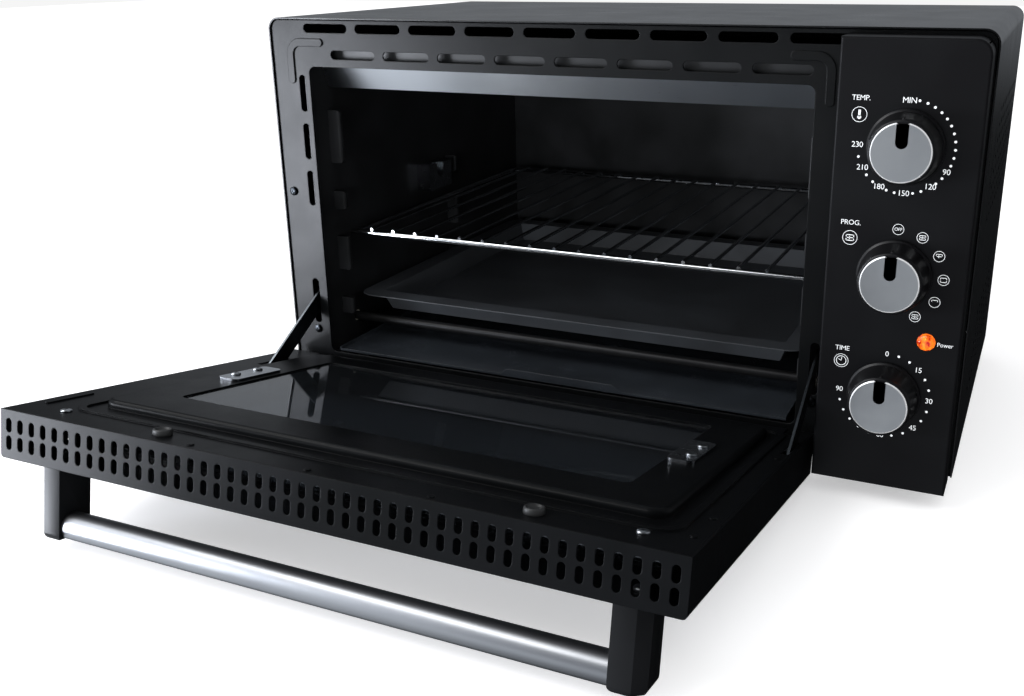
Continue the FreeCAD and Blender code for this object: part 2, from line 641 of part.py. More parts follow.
def terminal_block():
    """The mains terminal block on the base, in front of the gland."""
    block = box(188, 226, "2 * sheet", 44, 22, 18, "Terminals")
    tools = [box(192 + 14 * number, 224, 10, 8, 26, 14) for number in range(3)]
    in_oven(cut(block, tools, "TerminalBlock"), "terminal_block")


def knobs():
    """Three push-on knobs, each a moulded body with a metal face cap."""
    for name, z in KNOBS:
        body = revolved("KnobBody", [(0, 0), ("knob_rad", 0), ("knob_rad", 2.2), ("knob_top_rad + 0.6", 17),
                                     ("knob_top_rad", "knob_high"), (0, "knob_high")])
        body.Placement = Placement(Vector(size("knob_x"), size("-panel_proud - knob_gap"), size(z)),
                                   Rotation(Vector(1, 0, 0), 180))
        seat = rod("knob_x", "-panel_proud - knob_gap - knob_high - 1", z, "cap_rad + 0.1", 2, ALONG_Y)
        bore = rod("knob_x", "shaft_front - 0.01", z, "shaft_rad", 25, ALONG_Y)
        flat = box("knob_x - 3", "shaft_front - 0.01", f"{z} + 1.8", 6, 9.99, 2)
        bore_flat = cut(bore, [flat], "ShaftHole")
        in_oven(cut(body, [seat, bore_flat], "Knob"), f"{name}_knob")
        face = rod("knob_x", "-panel_proud - knob_gap - knob_high - 0.5", z, "cap_rad", "cap_thick", ALONG_Y)
        notch = fuse([box("knob_x - notch_wide / 2", "-panel_proud - 30", f"{z} + notch_end", "notch_wide",
                          20, 20),
                      rod("knob_x", "-panel_proud - 30", f"{z} + notch_end", "notch_wide / 2", 20, ALONG_Y)])
        in_oven(cut(face, [notch], "Cap"), f"{name}_knob_cap")


# ---------------------------------------------------------------- door

def door_panels():
    """The outer pan, the pressed inner panel, two panes and the slotted end strip."""
    wide = "door_right - door_left"
    tall = "door_top - grille_return - door_low"
    pan = box("door_left", "door_out", "door_low", wide, "door_in - door_out", "door_top - sheet - door_low",
              "Pan")
    pan = rounded(pan, "pan_bend", along_pan("door_left", "door_right", "door_out"))
    inside = box("door_left + sheet", "door_out + sheet", "door_low + sheet", f"{wide} - 2 * sheet",
                 40, "door_top - door_low + 10", "PanInside")
    inside = rounded(inside, "pan_bend - sheet",
                     along_pan("door_left + sheet", "door_right - sheet", "door_out + sheet"))
    tools = [inside]
    tools.append(box(-205, -20, 30, 341, 8, 180, "OuterWindow"))
    for side in (-1, 1):
        tools.append(box(f"mid_x + {side} * hinge_off - 4.2", -10, -10, 8.4, 30, 6, "EarGap"))
        edge = "door_left" if side < 0 else "door_right"
        tools.append(box(f"{edge} - 2", "door_out - 5", "door_top - grille_return", 4, 40, 60, "ReturnGap"))
    in_door = cut(pan, tools, "DoorPan")
    on_door(in_door, "door_outer_panel")

    flat = box("door_left + 1.15", "door_in - sheet", "door_low + 1.2", f"{wide} - 2.3", "sheet",
               "door_top - door_low - 2.4", "InnerSheet")
    left = "mid_x - plateau_half_left"
    raised_wide = "plateau_half_left + plateau_half_right"
    raised_tall = "plateau_top - plateau_low"
    plateau = box(left, "door_in - sheet", "plateau_low", raised_wide, "plateau_rise + sheet", raised_tall)
    plateau = rounded(plateau, 10, runs_back)
    top = size("door_in + plateau_rise")
    plateau = rounded(plateau, 3, lambda edge: abs(edge.CenterOfMass.y - top) < 0.01)
    hollow = box(f"{left} + sheet", "door_in - sheet - 1", "plateau_low + sheet",
                 f"{raised_wide} - 2 * sheet", "plateau_rise + 1", f"{raised_tall} - 2 * sheet")
    hollow = rounded(hollow, 9, runs_back)
    window = box("window_left", 0, "window_low", "window_right - window_left", 30,
                 "window_top - window_low", "InnerWindow")
    window = rounded(window, 4, runs_back)
    bead = cut(rounded(box("mid_x - 186", "door_in - sheet", 7, 371, "sheet + 1.2", 231), 12, runs_back),
               [rounded(box("mid_x - 182", 0, 11, 363, 30, 223), 9, runs_back)], "Bead")
    groove = rounded(box(-242, "door_in - sheet", 202, 4, "sheet + 0.9", 35), 1.9, runs_back)
    studs = [rod(x, "door_in - sheet", z, 1.9, "sheet + 0.7", ALONG_Y)
             for x, z in ((-114.5, 254.5), (-38.8, 255), (33.3, 255.5), (157.4, 205.1), (157.3, 235.2),
                          (158.3, 74.2))]
    tools = [hollow, window]
    for side in (-1, 1):
        tools.append(box(f"mid_x + {side} * arm_off - 2.4", 5, 27, 4.8, 20, 33, "ArmGap"))
        tools.append(box(f"mid_x + {side} * hinge_off - 4.2", 5, -12, 8.4, 20, 21, "EarNotch"))
    on_door(cut(fuse([flat, plateau, bead, groove] + studs), tools, "DoorInner"), "door_inner_panel")

    pane = box("window_left - 9", "door_in + plateau_rise - sheet - glass", "window_low - 9",
               "window_right - window_left + 18", "glass", "window_top - window_low + 18", "Pane")
    on_door(pane, "door_inner_glass")
    on_door(box(-213, "door_out + sheet", 22, 357, "glass", 196, "Pane"), "door_outer_glass")
    end_strip()


def along_pan(left, right, depth):
    """Choose the two long edges where the pan's sides meet its face."""
    ends, face = (size(left), size(right)), size(depth)
    return lambda edge: (abs(edge.CenterOfMass.y - face) < 0.01
                         and min(abs(edge.CenterOfMass.x - end) for end in ends) < 0.01)


def end_strip():
    """The folded strip that closes the door's end, with two rows of vent slots."""
    body, drawing = body_with_sketch("EndStrip", "XY_Plane", "door_top - sheet")
    drawn_frame(drawing, "door_left", "door_out", "door_right", "door_in")
    padded(body, drawing, "sheet")
    for left, right in (("door_left", "door_left + sheet"), ("door_right - sheet", "door_right")):
        side = add_sketch(body, "XY_Plane", "door_top - grille_return + seam_gap")
        drawn_frame(side, left, "door_out", right, "door_in")
        padded(body, side, "grille_return - seam_gap")
    holes = add_sketch(body, "XY_Plane", "door_top + 1")
    for row in ("vent_row_one", "vent_row_two"):
        drawn_slot(holes, "door_left + vent_first", row, "vent_straight", "vent_rad")
    pocket = pocketed(body, holes, "sheet + 2")
    repeated(body, pocket, holes, "H_Axis", "45 * vent_pitch", 46)
    strip = rounded(body, "pan_bend", lambda edge: edge.CenterOfMass.z < size("door_top - 2")
                    and along_pan("door_left", "door_right", "door_out")(edge))
    on_door(strip, "door_end_strip")


def small_screw(x, face, z):
    """A pan-head screw that stands on a face of the door's inner side."""
    head = rod(x, face, z, 3.3, 1.5, ALONG_Y)
    return fuse([head, rod(x, f"{face} - 2.4", z, 1.5, 3, ALONG_Y)], "Screw")


def door_fittings():
    """Glass clips, bumpers and screws of the door."""
    clips, screws, bumpers = [], [], []
    for x, inset in (("window_left - 20", 5), ("window_right + 0.4", 11)):
        clip = box(x, "door_in + plateau_rise + 0.05", 88, 16, 1.4, 48, "Clip")
        clips.append(rounded(clip, 4, runs_back))
        screws += [small_screw(f"{x} + {inset}", "door_in + plateau_rise + 1.5", z) for z in (101, 123)]
    finish(clips, "glass_clips", door_place())
    for x in (-140, 84):
        bumpers.append(fuse([rod(x, "door_in", 248, 5.4, 3.4, ALONG_Y),
                             rod(x, "door_in - 4", 248, 2.4, 5, ALONG_Y)], "Bumper"))
    finish(bumpers, "door_bumpers", door_place())
    screws += [small_screw(x, "door_in", 243.3) for x in (-216.5, 136)]
    finish(screws, "door_screws", door_place())


def handle():
    """The tubular bar between two moulded brackets, screwed through the outer panel."""
    middle = "(door_left + door_right) / 2"
    screws = []
    for side, label in ((-1, "handle_bracket_left"), (1, "handle_bracket_right")):
        inner = f"{middle} + {side} * bracket_off"
        left = inner if side > 0 else f"{inner} - bracket_wide"
        block = box(left, "bracket_out", "bracket_low", "bracket_wide", "door_out - bracket_out",
                    "bracket_top - bracket_low", "Bracket")
        outside = size(f"{inner} + {side} * bracket_wide")
        top = size("bracket_top")
        doc.recompute()
        corner = [index + 1 for index, edge in enumerate(block.Shape.Edges)
                  if abs(edge.CenterOfMass.x - outside) < 0.01 and abs(edge.CenterOfMass.z - top) < 0.01]
        bevel = doc.addObject("Part::Chamfer", "Bevel")
        bevel.Base = block
        bevel.Edges = [(number, size("bracket_bevel"), size("bracket_bevel")) for number in corner]
        out = size("bracket_out")
        shaped = rounded(bevel, 4.5, lambda edge: abs(edge.CenterOfMass.y - out) < 0.01)
        socket = rod(f"{inner} - 4", "bar_y", "bar_z", "bar_rad", 8, ALONG_X)
        hole = rod(f"{left} + bracket_wide / 2", "door_out - 14", "bracket_low + 11", 1.8, 16, ALONG_Y)
        on_door(cut(shaped, [socket, hole], "HandleBracket"), label)
        head = rod(f"{left} + bracket_wide / 2", "door_out + sheet", "bracket_low + 11", 3.8, 2.4, ALONG_Y)
        shank = rod(f"{left} + bracket_wide / 2", "door_out - 12", "bracket_low + 11", 1.8, 14, ALONG_Y)
        screws.append(fuse([head, shank], "HandleScrew"))
    bar = rod(f"{middle} - bracket_off - 4", "bar_y", "bar_z", "bar_rad", "2 * bracket_off + 8", ALONG_X)
    bore = rod(f"{middle} - bracket_off - 5", "bar_y", "bar_z", "bar_rad - 1.2", "2 * bracket_off + 10",
               ALONG_X)
    on_door(cut(bar, [bore], "Bar"), "handle_bar")
    finish(screws, "handle_screws", door_place())


# ---------------------------------------------------------------- hinges and stays

def hinges():
    """Hinge ears on the frame, their pins, and the door's channels that turn on them."""
    channels, hinge_pins, stay_pins = [], [], []
    for side, word in ((-1, "left"), (1, "right")):
        centre = f"mid_x + {side} * hinge_off"
        disc = rod(f"{centre} - ear_thick / 2", "hinge_y", "hinge_z", 4.8, "ear_thick", ALONG_X)
        arm = box(f"{centre} - ear_thick / 2", "hinge_y", "hinge_z - 3.2", "ear_thick", "14 - hinge_y", 7.2)
        flange_x = f"{centre} - ear_thick / 2" if side > 0 else f"{centre} - 26"
        low = box(flange_x, "sheet + 0.05", "hinge_z - 3.2", "26 + ear_thick / 2", 1.5, 7.2)
        high = box(f"mid_x + {side} * 196.5 - 5.5", "sheet + 0.05", "hinge_z - 3.2", 11, 1.5, 35)
        bore = rod(f"{centre} - 5", "hinge_y", "hinge_z", "pin_rad", 10, ALONG_X)
        in_oven(cut(fuse([disc, arm, low, high]), [bore], "HingeEar"), f"hinge_ear_{word}")
        start = "mid_x + channel_in - 0.6" if side > 0 else "mid_x - channel_out - 0.9"
        span = "channel_out - channel_in + 1.5"
        hinge_pins.append(rod(start, "hinge_y", "hinge_z", "pin_rad", span, ALONG_X, "Pin"))
        stay_pins.append(rod(start, 0, "arm_crank", "stay_pin_rad", span, ALONG_X, "Pin"))
        channels.append(channel(side))
        stay_arm(side, word)
    finish(hinge_pins, "hinge_pins", oven_place())
    finish(stay_pins, "stay_pins", door_place())
    finish(channels, "hinge_channels", door_place())


def channel(side):
    """The channel inside the door that carries the hinge pin and the stay arm's pivot."""
    near = f"mid_x + {side} * (channel_in + channel_sheet / 2) - channel_sheet / 2"
    far = f"mid_x + {side} * (channel_out - channel_sheet / 2) - channel_sheet / 2"
    plates = [box(x, -8, -5.6, "channel_sheet", "door_in - sheet + 8", 70) for x in (near, far)]
    low = near if side > 0 else far
    web = box(low, -9.2, 8, "channel_out - channel_in", "channel_sheet + 0.1", 56.4)
    bores = [rod(f"{low} - 5", 0, 0, "pin_rad + run_gap", 30, ALONG_X),
             rod(f"{low} - 5", 0, "arm_crank", "stay_pin_rad", 30, ALONG_X)]
    return cut(fuse(plates + [web]), bores, "HingeChannel")


def stay_arm(side, word):
    """A flat stay arm that runs from its pin in the door through a slot in the frame."""
    slot_rise = math.sqrt(size("arm_crank") ** 2 - size("hinge_y") ** 2)
    turn = math.radians(size("door_open_deg"))
    pivot_y = size("hinge_y") - size("arm_crank") * math.sin(turn)
    pivot_z = size("hinge_z") + size("arm_crank") * math.cos(turn)
    reach_y = -pivot_y
    reach_z = size("hinge_z") + slot_rise - pivot_z
    slope = math.degrees(math.atan2(reach_z, reach_y))
    length = math.hypot(reach_y, reach_z) + size("arm_tail")
    face = "-arm_thick / 2"
    blade = box(face, 0, "-arm_wide / 2", "arm_thick", length, "arm_wide", "Blade")
    eye = rod(face, 0, 0, "arm_wide / 2", "arm_thick", ALONG_X)
    hook = box(face, length - 7, "-arm_wide / 2 - 5", "arm_thick", 7, 8)
    bore = rod("-5", 0, 0, "stay_pin_rad + run_gap", 10, ALONG_X)
    item = cut(fuse([blade, eye, hook]), [bore], "StayArm")
    place = Placement(Vector(size(f"mid_x + {side} * arm_off"), size("front_face_y") + pivot_y,
                             size("base_height") + pivot_z), Rotation(Vector(1, 0, 0), slope))
    finish([item], f"stay_arm_{word}", place)


# ---------------------------------------------------------------- racks and trays

def wire_rack():
    """The chrome grid: a bent frame of thick wire with thin rods welded across it."""
    back = "rack_front + rack_deep"
    corner = "rack_corner"
    wire = "rack_wire"
    pieces = [
        rod("mid_x - rack_half", "rack_front", "rack_z", wire, "2 * rack_half", ALONG_X),
        rod(f"mid_x - rack_half + {corner}", back, "rack_z", wire, f"2 * (rack_half - {corner})",
            ALONG_X)]
    for side in (-1, 1):
        pieces.append(rod(f"mid_x + {side} * (rack_half - rack_wire)", "rack_front", "rack_z", wire,
                          f"rack_deep - {corner}", ALONG_Y))
        bend = doc.addObject("Part::Torus", "RackBend")
        bend.setExpression("Radius1", bound(f"{corner} - rack_wire"))
        bend.setExpression("Radius2", bound(wire))
        bend.Angle3 = 90
        bend.Placement = Placement(Vector(), Rotation(Vector(0, 0, 1), 0 if side > 0 else 90))
        set_base(bend, f"mid_x + {side} * (rack_half - {corner})", f"{back} - {corner} + rack_wire", "rack_z")
        pieces.append(bend)
        pieces.append(rod(f"mid_x + {side} * (rack_half - rack_wire)", f"{back} - {corner}", "rack_z", wire,
                          "rack_wire", ALONG_Y))
    for number in range(int(size("rod_count"))):
        shift = number - (size("rod_count") - 1) / 2
        pieces.append(rod(f"mid_x + rod_shift + {shift} * rod_pitch", "rack_front - 1.5",
                          "rack_z + rack_wire + 0.6", "rod_rad", "rack_deep + 2.2", ALONG_Y))
    in_oven(fuse(pieces, "Rack"), "wire_rack")


def baking_tray():
    """The enamelled tray: a tapered pan with a flat rim that rests on the wall lugs."""
    low, high = "tray_floor_z", "tray_rim_z"
    outer = tapered("tray_body_half", 168, low, high, 0)
    inner = tapered("tray_body_half", 168, low, high, 1)
    rim = box("mid_x - rack_half", "rack_front", "tray_rim_z", "2 * rack_half", "rack_deep", "tray_sheet")
    rim = rounded(rim, 14, lambda edge: edge.CenterOfMass.z > size("tray_rim_z")
                  and len(edge.Vertexes) == 2 and abs(edge.Vertexes[0].Z - edge.Vertexes[1].Z) > 0.1)
    in_oven(cut(fuse([outer, rim]), [inner], "Tray"), "baking_tray")


def tapered(half, middle, low, high, skin):
    """A block that narrows towards its floor, drawn in by the sheet for the inside."""
    item = doc.addObject("Part::Wedge", "Taper")
    thin = f"{skin} * tray_sheet"
    reach = "rack_deep / 2 - 14"
    for name, formula in {
            "Xmin": f"-{half} + 6 + {thin}", "Xmax": f"{half} - 6 - {thin}",
            "Zmin": f"-({reach}) + 6 + {thin}", "Zmax": f"{reach} - 6 - {thin}",
            "X2min": f"-{half} + {thin}", "X2max": f"{half} - {thin}",
            "Z2min": f"-({reach}) + {thin}", "Z2max": f"{reach} - {thin}",
            "Ymin": f"{low} + {thin}", "Ymax": f"{high} + {skin} * 3"}.items():
        item.setExpression(name, bound(formula))
    item.Placement = Placement(Vector(), UPRIGHT)
    set_base(item, "mid_x", "rack_front + rack_deep / 2", 0)
    return item


def crumb_tray():
    """The crumb sheet on the cavity floor, with low sides and a raised pull tab."""
    half = "rack_half - 3"
    floor = box(f"mid_x - ({half})", 2.6, "crumb_z", f"2 * ({half})", "crumb_back - 2.6", "tray_sheet")
    sides = [box(f"mid_x - ({half})", 2.6, "crumb_z", "tray_sheet", "crumb_back - 2.6", 3.2),
             box(f"mid_x + {half} - tray_sheet", 2.6, "crumb_z", "tray_sheet", "crumb_back - 2.6", 3.2),
             box(f"mid_x - ({half})", "crumb_back - tray_sheet", "crumb_z", f"2 * ({half})",
                 "tray_sheet", 3.2),
             box(f"mid_x - ({half})", 2.6, "crumb_z", f"2 * ({half})", "tray_sheet", 1.8)]
    body, drawing = body_with_sketch("CrumbTab", "XZ_Plane", "-3.4")
    drawn_outline(drawing, [(-71, "crumb_z"), (31, "crumb_z"), (19, "crumb_z + crumb_tab"),
                            (-65, "crumb_z + crumb_tab")])
    padded(body, drawing, "tray_sheet")
    in_oven(fuse([floor] + sides + [body], "CrumbTray"), "crumb_tray")


# ---------------------------------------------------------------- build and write

for build in (outer_shell, base_plate, feet, front_frame, rear_cover, frame_screws,
              cavity_walls, top_strip, heaters, rotisserie, control_panel, switches,
              terminal_block, knobs, door_panels, door_fittings, handle, hinges,
              wire_rack, baking_tray, crumb_tray):
    build()
doc.recompute()

faults = [item.Label for item in doc.Objects if {"Invalid", "Error"} & set(item.State)]
if faults:
    raise RuntimeError(f"objects that failed: {faults}")
for item in finished:
    if item.Shape.isNull() or not item.Shape.isValid():
        raise RuntimeError(f"{item.Label}: no valid shape")

os.makedirs("parts", exist_ok=True)
for item in finished:
    item.Shape.exportStep(f"parts/{item.Label}.step")
    bounds = item.Shape.BoundBox
    print(f"{item.Label:24s} {len(item.Shape.Solids):3d} {item.Shape.Volume / 1000:9.2f} cm3  "
          f"x {bounds.XMin:.1f} {bounds.XMax:.1f}  y {bounds.YMin:.1f} {bounds.YMax:.1f}  "
          f"z {bounds.ZMin:.1f} {bounds.ZMax:.1f}")
print(len(finished), "nodes")
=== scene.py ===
"""Looks for the countertop mini oven: finishes, fine pieces, studio and camera.

Everything is in metres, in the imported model's own frame: +X to the right seen from the
front, -Y towards the user, +Z up from the worktop.
"""
import json
import logging
import math
from collections.abc import Callable, Iterator
from contextlib import contextmanager
from dataclasses import dataclass, field
from enum import Enum

import bmesh
import bpy
from mathutils import Matrix, Vector

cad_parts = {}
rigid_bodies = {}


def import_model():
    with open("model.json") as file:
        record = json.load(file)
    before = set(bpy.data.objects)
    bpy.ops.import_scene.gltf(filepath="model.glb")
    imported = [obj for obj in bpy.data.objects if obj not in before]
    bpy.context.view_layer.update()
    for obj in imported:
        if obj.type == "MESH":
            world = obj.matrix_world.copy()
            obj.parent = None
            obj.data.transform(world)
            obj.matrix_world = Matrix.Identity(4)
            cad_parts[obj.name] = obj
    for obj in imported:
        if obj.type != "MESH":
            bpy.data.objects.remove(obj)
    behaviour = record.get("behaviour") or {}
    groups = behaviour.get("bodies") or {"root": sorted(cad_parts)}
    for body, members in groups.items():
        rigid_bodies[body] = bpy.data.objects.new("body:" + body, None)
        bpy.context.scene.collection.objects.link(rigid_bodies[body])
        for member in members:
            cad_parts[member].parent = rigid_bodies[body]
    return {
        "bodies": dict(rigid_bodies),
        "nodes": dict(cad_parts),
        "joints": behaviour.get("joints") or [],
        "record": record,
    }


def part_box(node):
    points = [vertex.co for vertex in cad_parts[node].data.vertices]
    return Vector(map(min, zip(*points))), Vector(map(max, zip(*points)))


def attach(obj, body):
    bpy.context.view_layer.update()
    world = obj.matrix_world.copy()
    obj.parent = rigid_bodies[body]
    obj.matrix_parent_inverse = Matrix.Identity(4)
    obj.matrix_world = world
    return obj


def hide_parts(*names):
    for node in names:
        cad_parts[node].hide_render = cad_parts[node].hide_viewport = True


log = logging.getLogger("mini_oven")
MM = 0.001


# ---------------------------------------------------------------- small tools

def linear(code: str) -> tuple[float, float, float, float]:
    """Turn an sRGB hex colour into linear light.

    Args:
        code: Six hex digits, with or without a leading hash.

    Returns:
        Red, green, blue and an alpha of one.
    """
    digits = code.lstrip("#")
    levels = [int(digits[at:at + 2], 16) / 255 for at in (0, 2, 4)]
    red, green, blue = (level / 12.92 if level <= 0.04045 else ((level + 0.055) / 1.055) ** 2.4
                        for level in levels)
    return red, green, blue, 1.0


def add_node(tree: bpy.types.NodeTree, kind: str, settings: dict | None = None,
             links: dict | None = None) -> bpy.types.Node:
    """Add one node with its settings and its incoming links.

    Args:
        tree: The node tree that gets the node.
        kind: The node's Blender type name.
        settings: Attribute names or input names and their values.
        links: Input names or numbers and the output sockets that feed them.

    Returns:
        The new node.
    """
    node = tree.nodes.new(kind)
    for name, value in (settings or {}).items():
        if hasattr(node, name):
            setattr(node, name, value)
        else:
            node.inputs[name].default_value = value
    for name, source in (links or {}).items():
        tree.links.new(source, node.inputs[name])
    return node


def only(*objects: bpy.types.Object) -> None:
    """Select these objects and nothing else, the first one active."""
    bpy.ops.object.select_all(action="DESELECT")
    for item in objects:
        item.select_set(True)
    bpy.context.view_layer.objects.active = objects[0]


def settled(item: bpy.types.Object) -> bpy.types.Object:
    """Move an object's place, turn and scale into its mesh.

    Args:
        item: The object to settle.

    Returns:
        The same object, at the origin.
    """
    only(item)
    bpy.ops.object.transform_apply(location=True, rotation=True, scale=True)
    return item


@contextmanager
def editing(item: bpy.types.Object) -> Iterator[None]:
    """Open an object in edit mode with nothing selected, and close it afterwards."""
    only(item)
    bpy.ops.object.mode_set(mode="EDIT")
    bpy.ops.mesh.select_mode(type="FACE")
    bpy.ops.mesh.select_all(action="DESELECT")
    try:
        yield
    finally:
        bpy.ops.object.mode_set(mode="OBJECT")


def pick_faces(item: bpy.types.Object, wanted: Callable[[bmesh.types.BMFace], bool]) -> int:
    """Select the faces of the object in edit mode that pass a test.

    Args:
        item: The object that is open in edit mode.
        wanted: The test of one face.

    Returns:
        How many faces are selected.
    """
    shape = bmesh.from_edit_mesh(item.data)
    for face in shape.faces:
        face.select_set(wanted(face))
    bmesh.update_edit_mesh(item.data)
    return sum(face.select for face in shape.faces)


def outward(item: bpy.types.Object) -> None:
    """Merge an object's doubles and turn its faces outwards."""
    with editing(item):
        bpy.ops.mesh.select_all(action="SELECT")
        bpy.ops.mesh.remove_doubles(threshold=1e-6)
        bpy.ops.mesh.normals_make_consistent(inside=False)


def applied(item: bpy.types.Object, kind: str, **settings: object) -> bpy.types.Object:
    """Add a modifier, set it and apply it.

    Args:
        item: The object that gets the modifier.
        kind: The modifier's Blender type.
        **settings: The modifier's own settings.

    Returns:
        The same object.
    """
    only(item)
    modifier = item.modifiers.new(kind.title(), kind)
    for name, value in settings.items():
        setattr(modifier, name, value)
    bpy.ops.object.modifier_apply(modifier=modifier.name)
    return item


def bevelled(item: bpy.types.Object, width: float, segments: int = 2,
             angle: float = 35) -> bpy.types.Object:
    """Round an object's sharp edges.

    Args:
        item: The object to round.
        width: The bevel's width in metres.
        segments: The number of faces across the bevel.
        angle: The smallest angle in degrees that counts as sharp.

    Returns:
        The same object.
    """
    return applied(item, "BEVEL", width=width, segments=segments, limit_method="ANGLE",
                   angle_limit=math.radians(angle))


def carved(item: bpy.types.Object, cutter: bpy.types.Object) -> bpy.types.Object:
    """Cut one object out of another and throw the cutter away."""
    applied(item, "BOOLEAN", object=cutter, operation="DIFFERENCE", solver="EXACT")
    bpy.data.objects.remove(cutter)
    return item


def smooth(item: bpy.types.Object, angle: float = 32) -> bpy.types.Object:
    """Shade an object smooth up to an angle in degrees."""
    only(item)
    bpy.ops.object.shade_smooth_by_angle(angle=math.radians(angle))
    return item


def turned(profile: tuple[tuple[float, float], ...], segments: int = 64) -> bpy.types.Object:
    """Raise a disc through a profile along +Z, as on a lathe.

    Args:
        profile: Height and radius pairs in millimetres, from the bottom up.
        segments: The number of sides round.

    Returns:
        The turned object, closed at both ends.
    """
    height, radius = profile[0]
    bpy.ops.object.select_all(action="DESELECT")
    bpy.ops.mesh.primitive_circle_add(vertices=segments, radius=radius * MM, fill_type="NGON",
                                      location=(0, 0, height * MM))
    item = settled(bpy.context.active_object)
    with editing(item):
        bpy.ops.mesh.select_all(action="SELECT")
        for next_height, next_radius in profile[1:]:
            bpy.ops.mesh.extrude_region_move(
                TRANSFORM_OT_translate={"value": (0, 0, (next_height - height) * MM)})
            ratio = next_radius / radius
            bpy.ops.transform.resize(value=(ratio, ratio, 1),
                                     center_override=(0, 0, next_height * MM))
            height, radius = next_height, next_radius
    outward(item)
    return item


def block(low: Vector, high: Vector) -> bpy.types.Object:
    """Add a block between two corners.

    Args:
        low: The lowest corner.
        high: The highest corner.

    Returns:
        The block, settled.
    """
    bpy.ops.object.select_all(action="DESELECT")
    bpy.ops.mesh.primitive_cube_add(size=1, location=(low + high) / 2)
    item = bpy.context.active_object
    item.scale = high - low
    return settled(item)


def copied(item: bpy.types.Object, place: Matrix) -> bpy.types.Object:
    """Copy an object with its own mesh to a place.

    Args:
        item: The object to copy.
        place: Where the copy goes.

    Returns:
        The copy, settled.
    """
    twin = bpy.data.objects.new(item.name, item.data.copy())
    bpy.context.scene.collection.objects.link(twin)
    twin.matrix_world = place
    return settled(twin)


def joined(items: list[bpy.types.Object]) -> bpy.types.Object:
    """Join objects into the first one."""
    only(*items)
    if len(items) > 1:
        bpy.ops.object.join()
    return bpy.context.active_object


@dataclass(frozen=True)
class Solid:
    """The box round one closed solid of a node."""

    low: Vector
    high: Vector

    @property
    def middle(self) -> Vector:
        """The box's middle."""
        return (self.low + self.high) / 2


def solids(node: bpy.types.Object, frame: Matrix) -> list[Solid]:
    """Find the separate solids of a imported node.

    Args:
        node: The node's object.
        frame: The frame that the boxes are measured in.

    Returns:
        One box per solid, from left to right.
    """
    shape = bmesh.new()
    shape.from_mesh(node.data)
    bmesh.ops.remove_doubles(shape, verts=shape.verts, dist=1e-6)
    back = frame.inverted()
    found, seen = [], set()
    for start in shape.verts:
        if start in seen:
            continue
        seen.add(start)
        island, waiting = [], [start]
        while waiting:
            vertex = waiting.pop()
            island.append(back @ vertex.co)
            for edge in vertex.link_edges:
                other = edge.other_vert(vertex)
                if other not in seen:
                    seen.add(other)
                    waiting.append(other)
        found.append(Solid(Vector(map(min, *island)), Vector(map(max, *island))))
    shape.free()
    return sorted(found, key=lambda solid: tuple(solid.middle))


# ---------------------------------------------------------------- finishes

class Grain(Enum):
    """Which way a finish's pattern runs."""

    EVEN = (1.0, 1.0, 1.0)
    ALONG_X = (0.02, 1.0, 1.0)


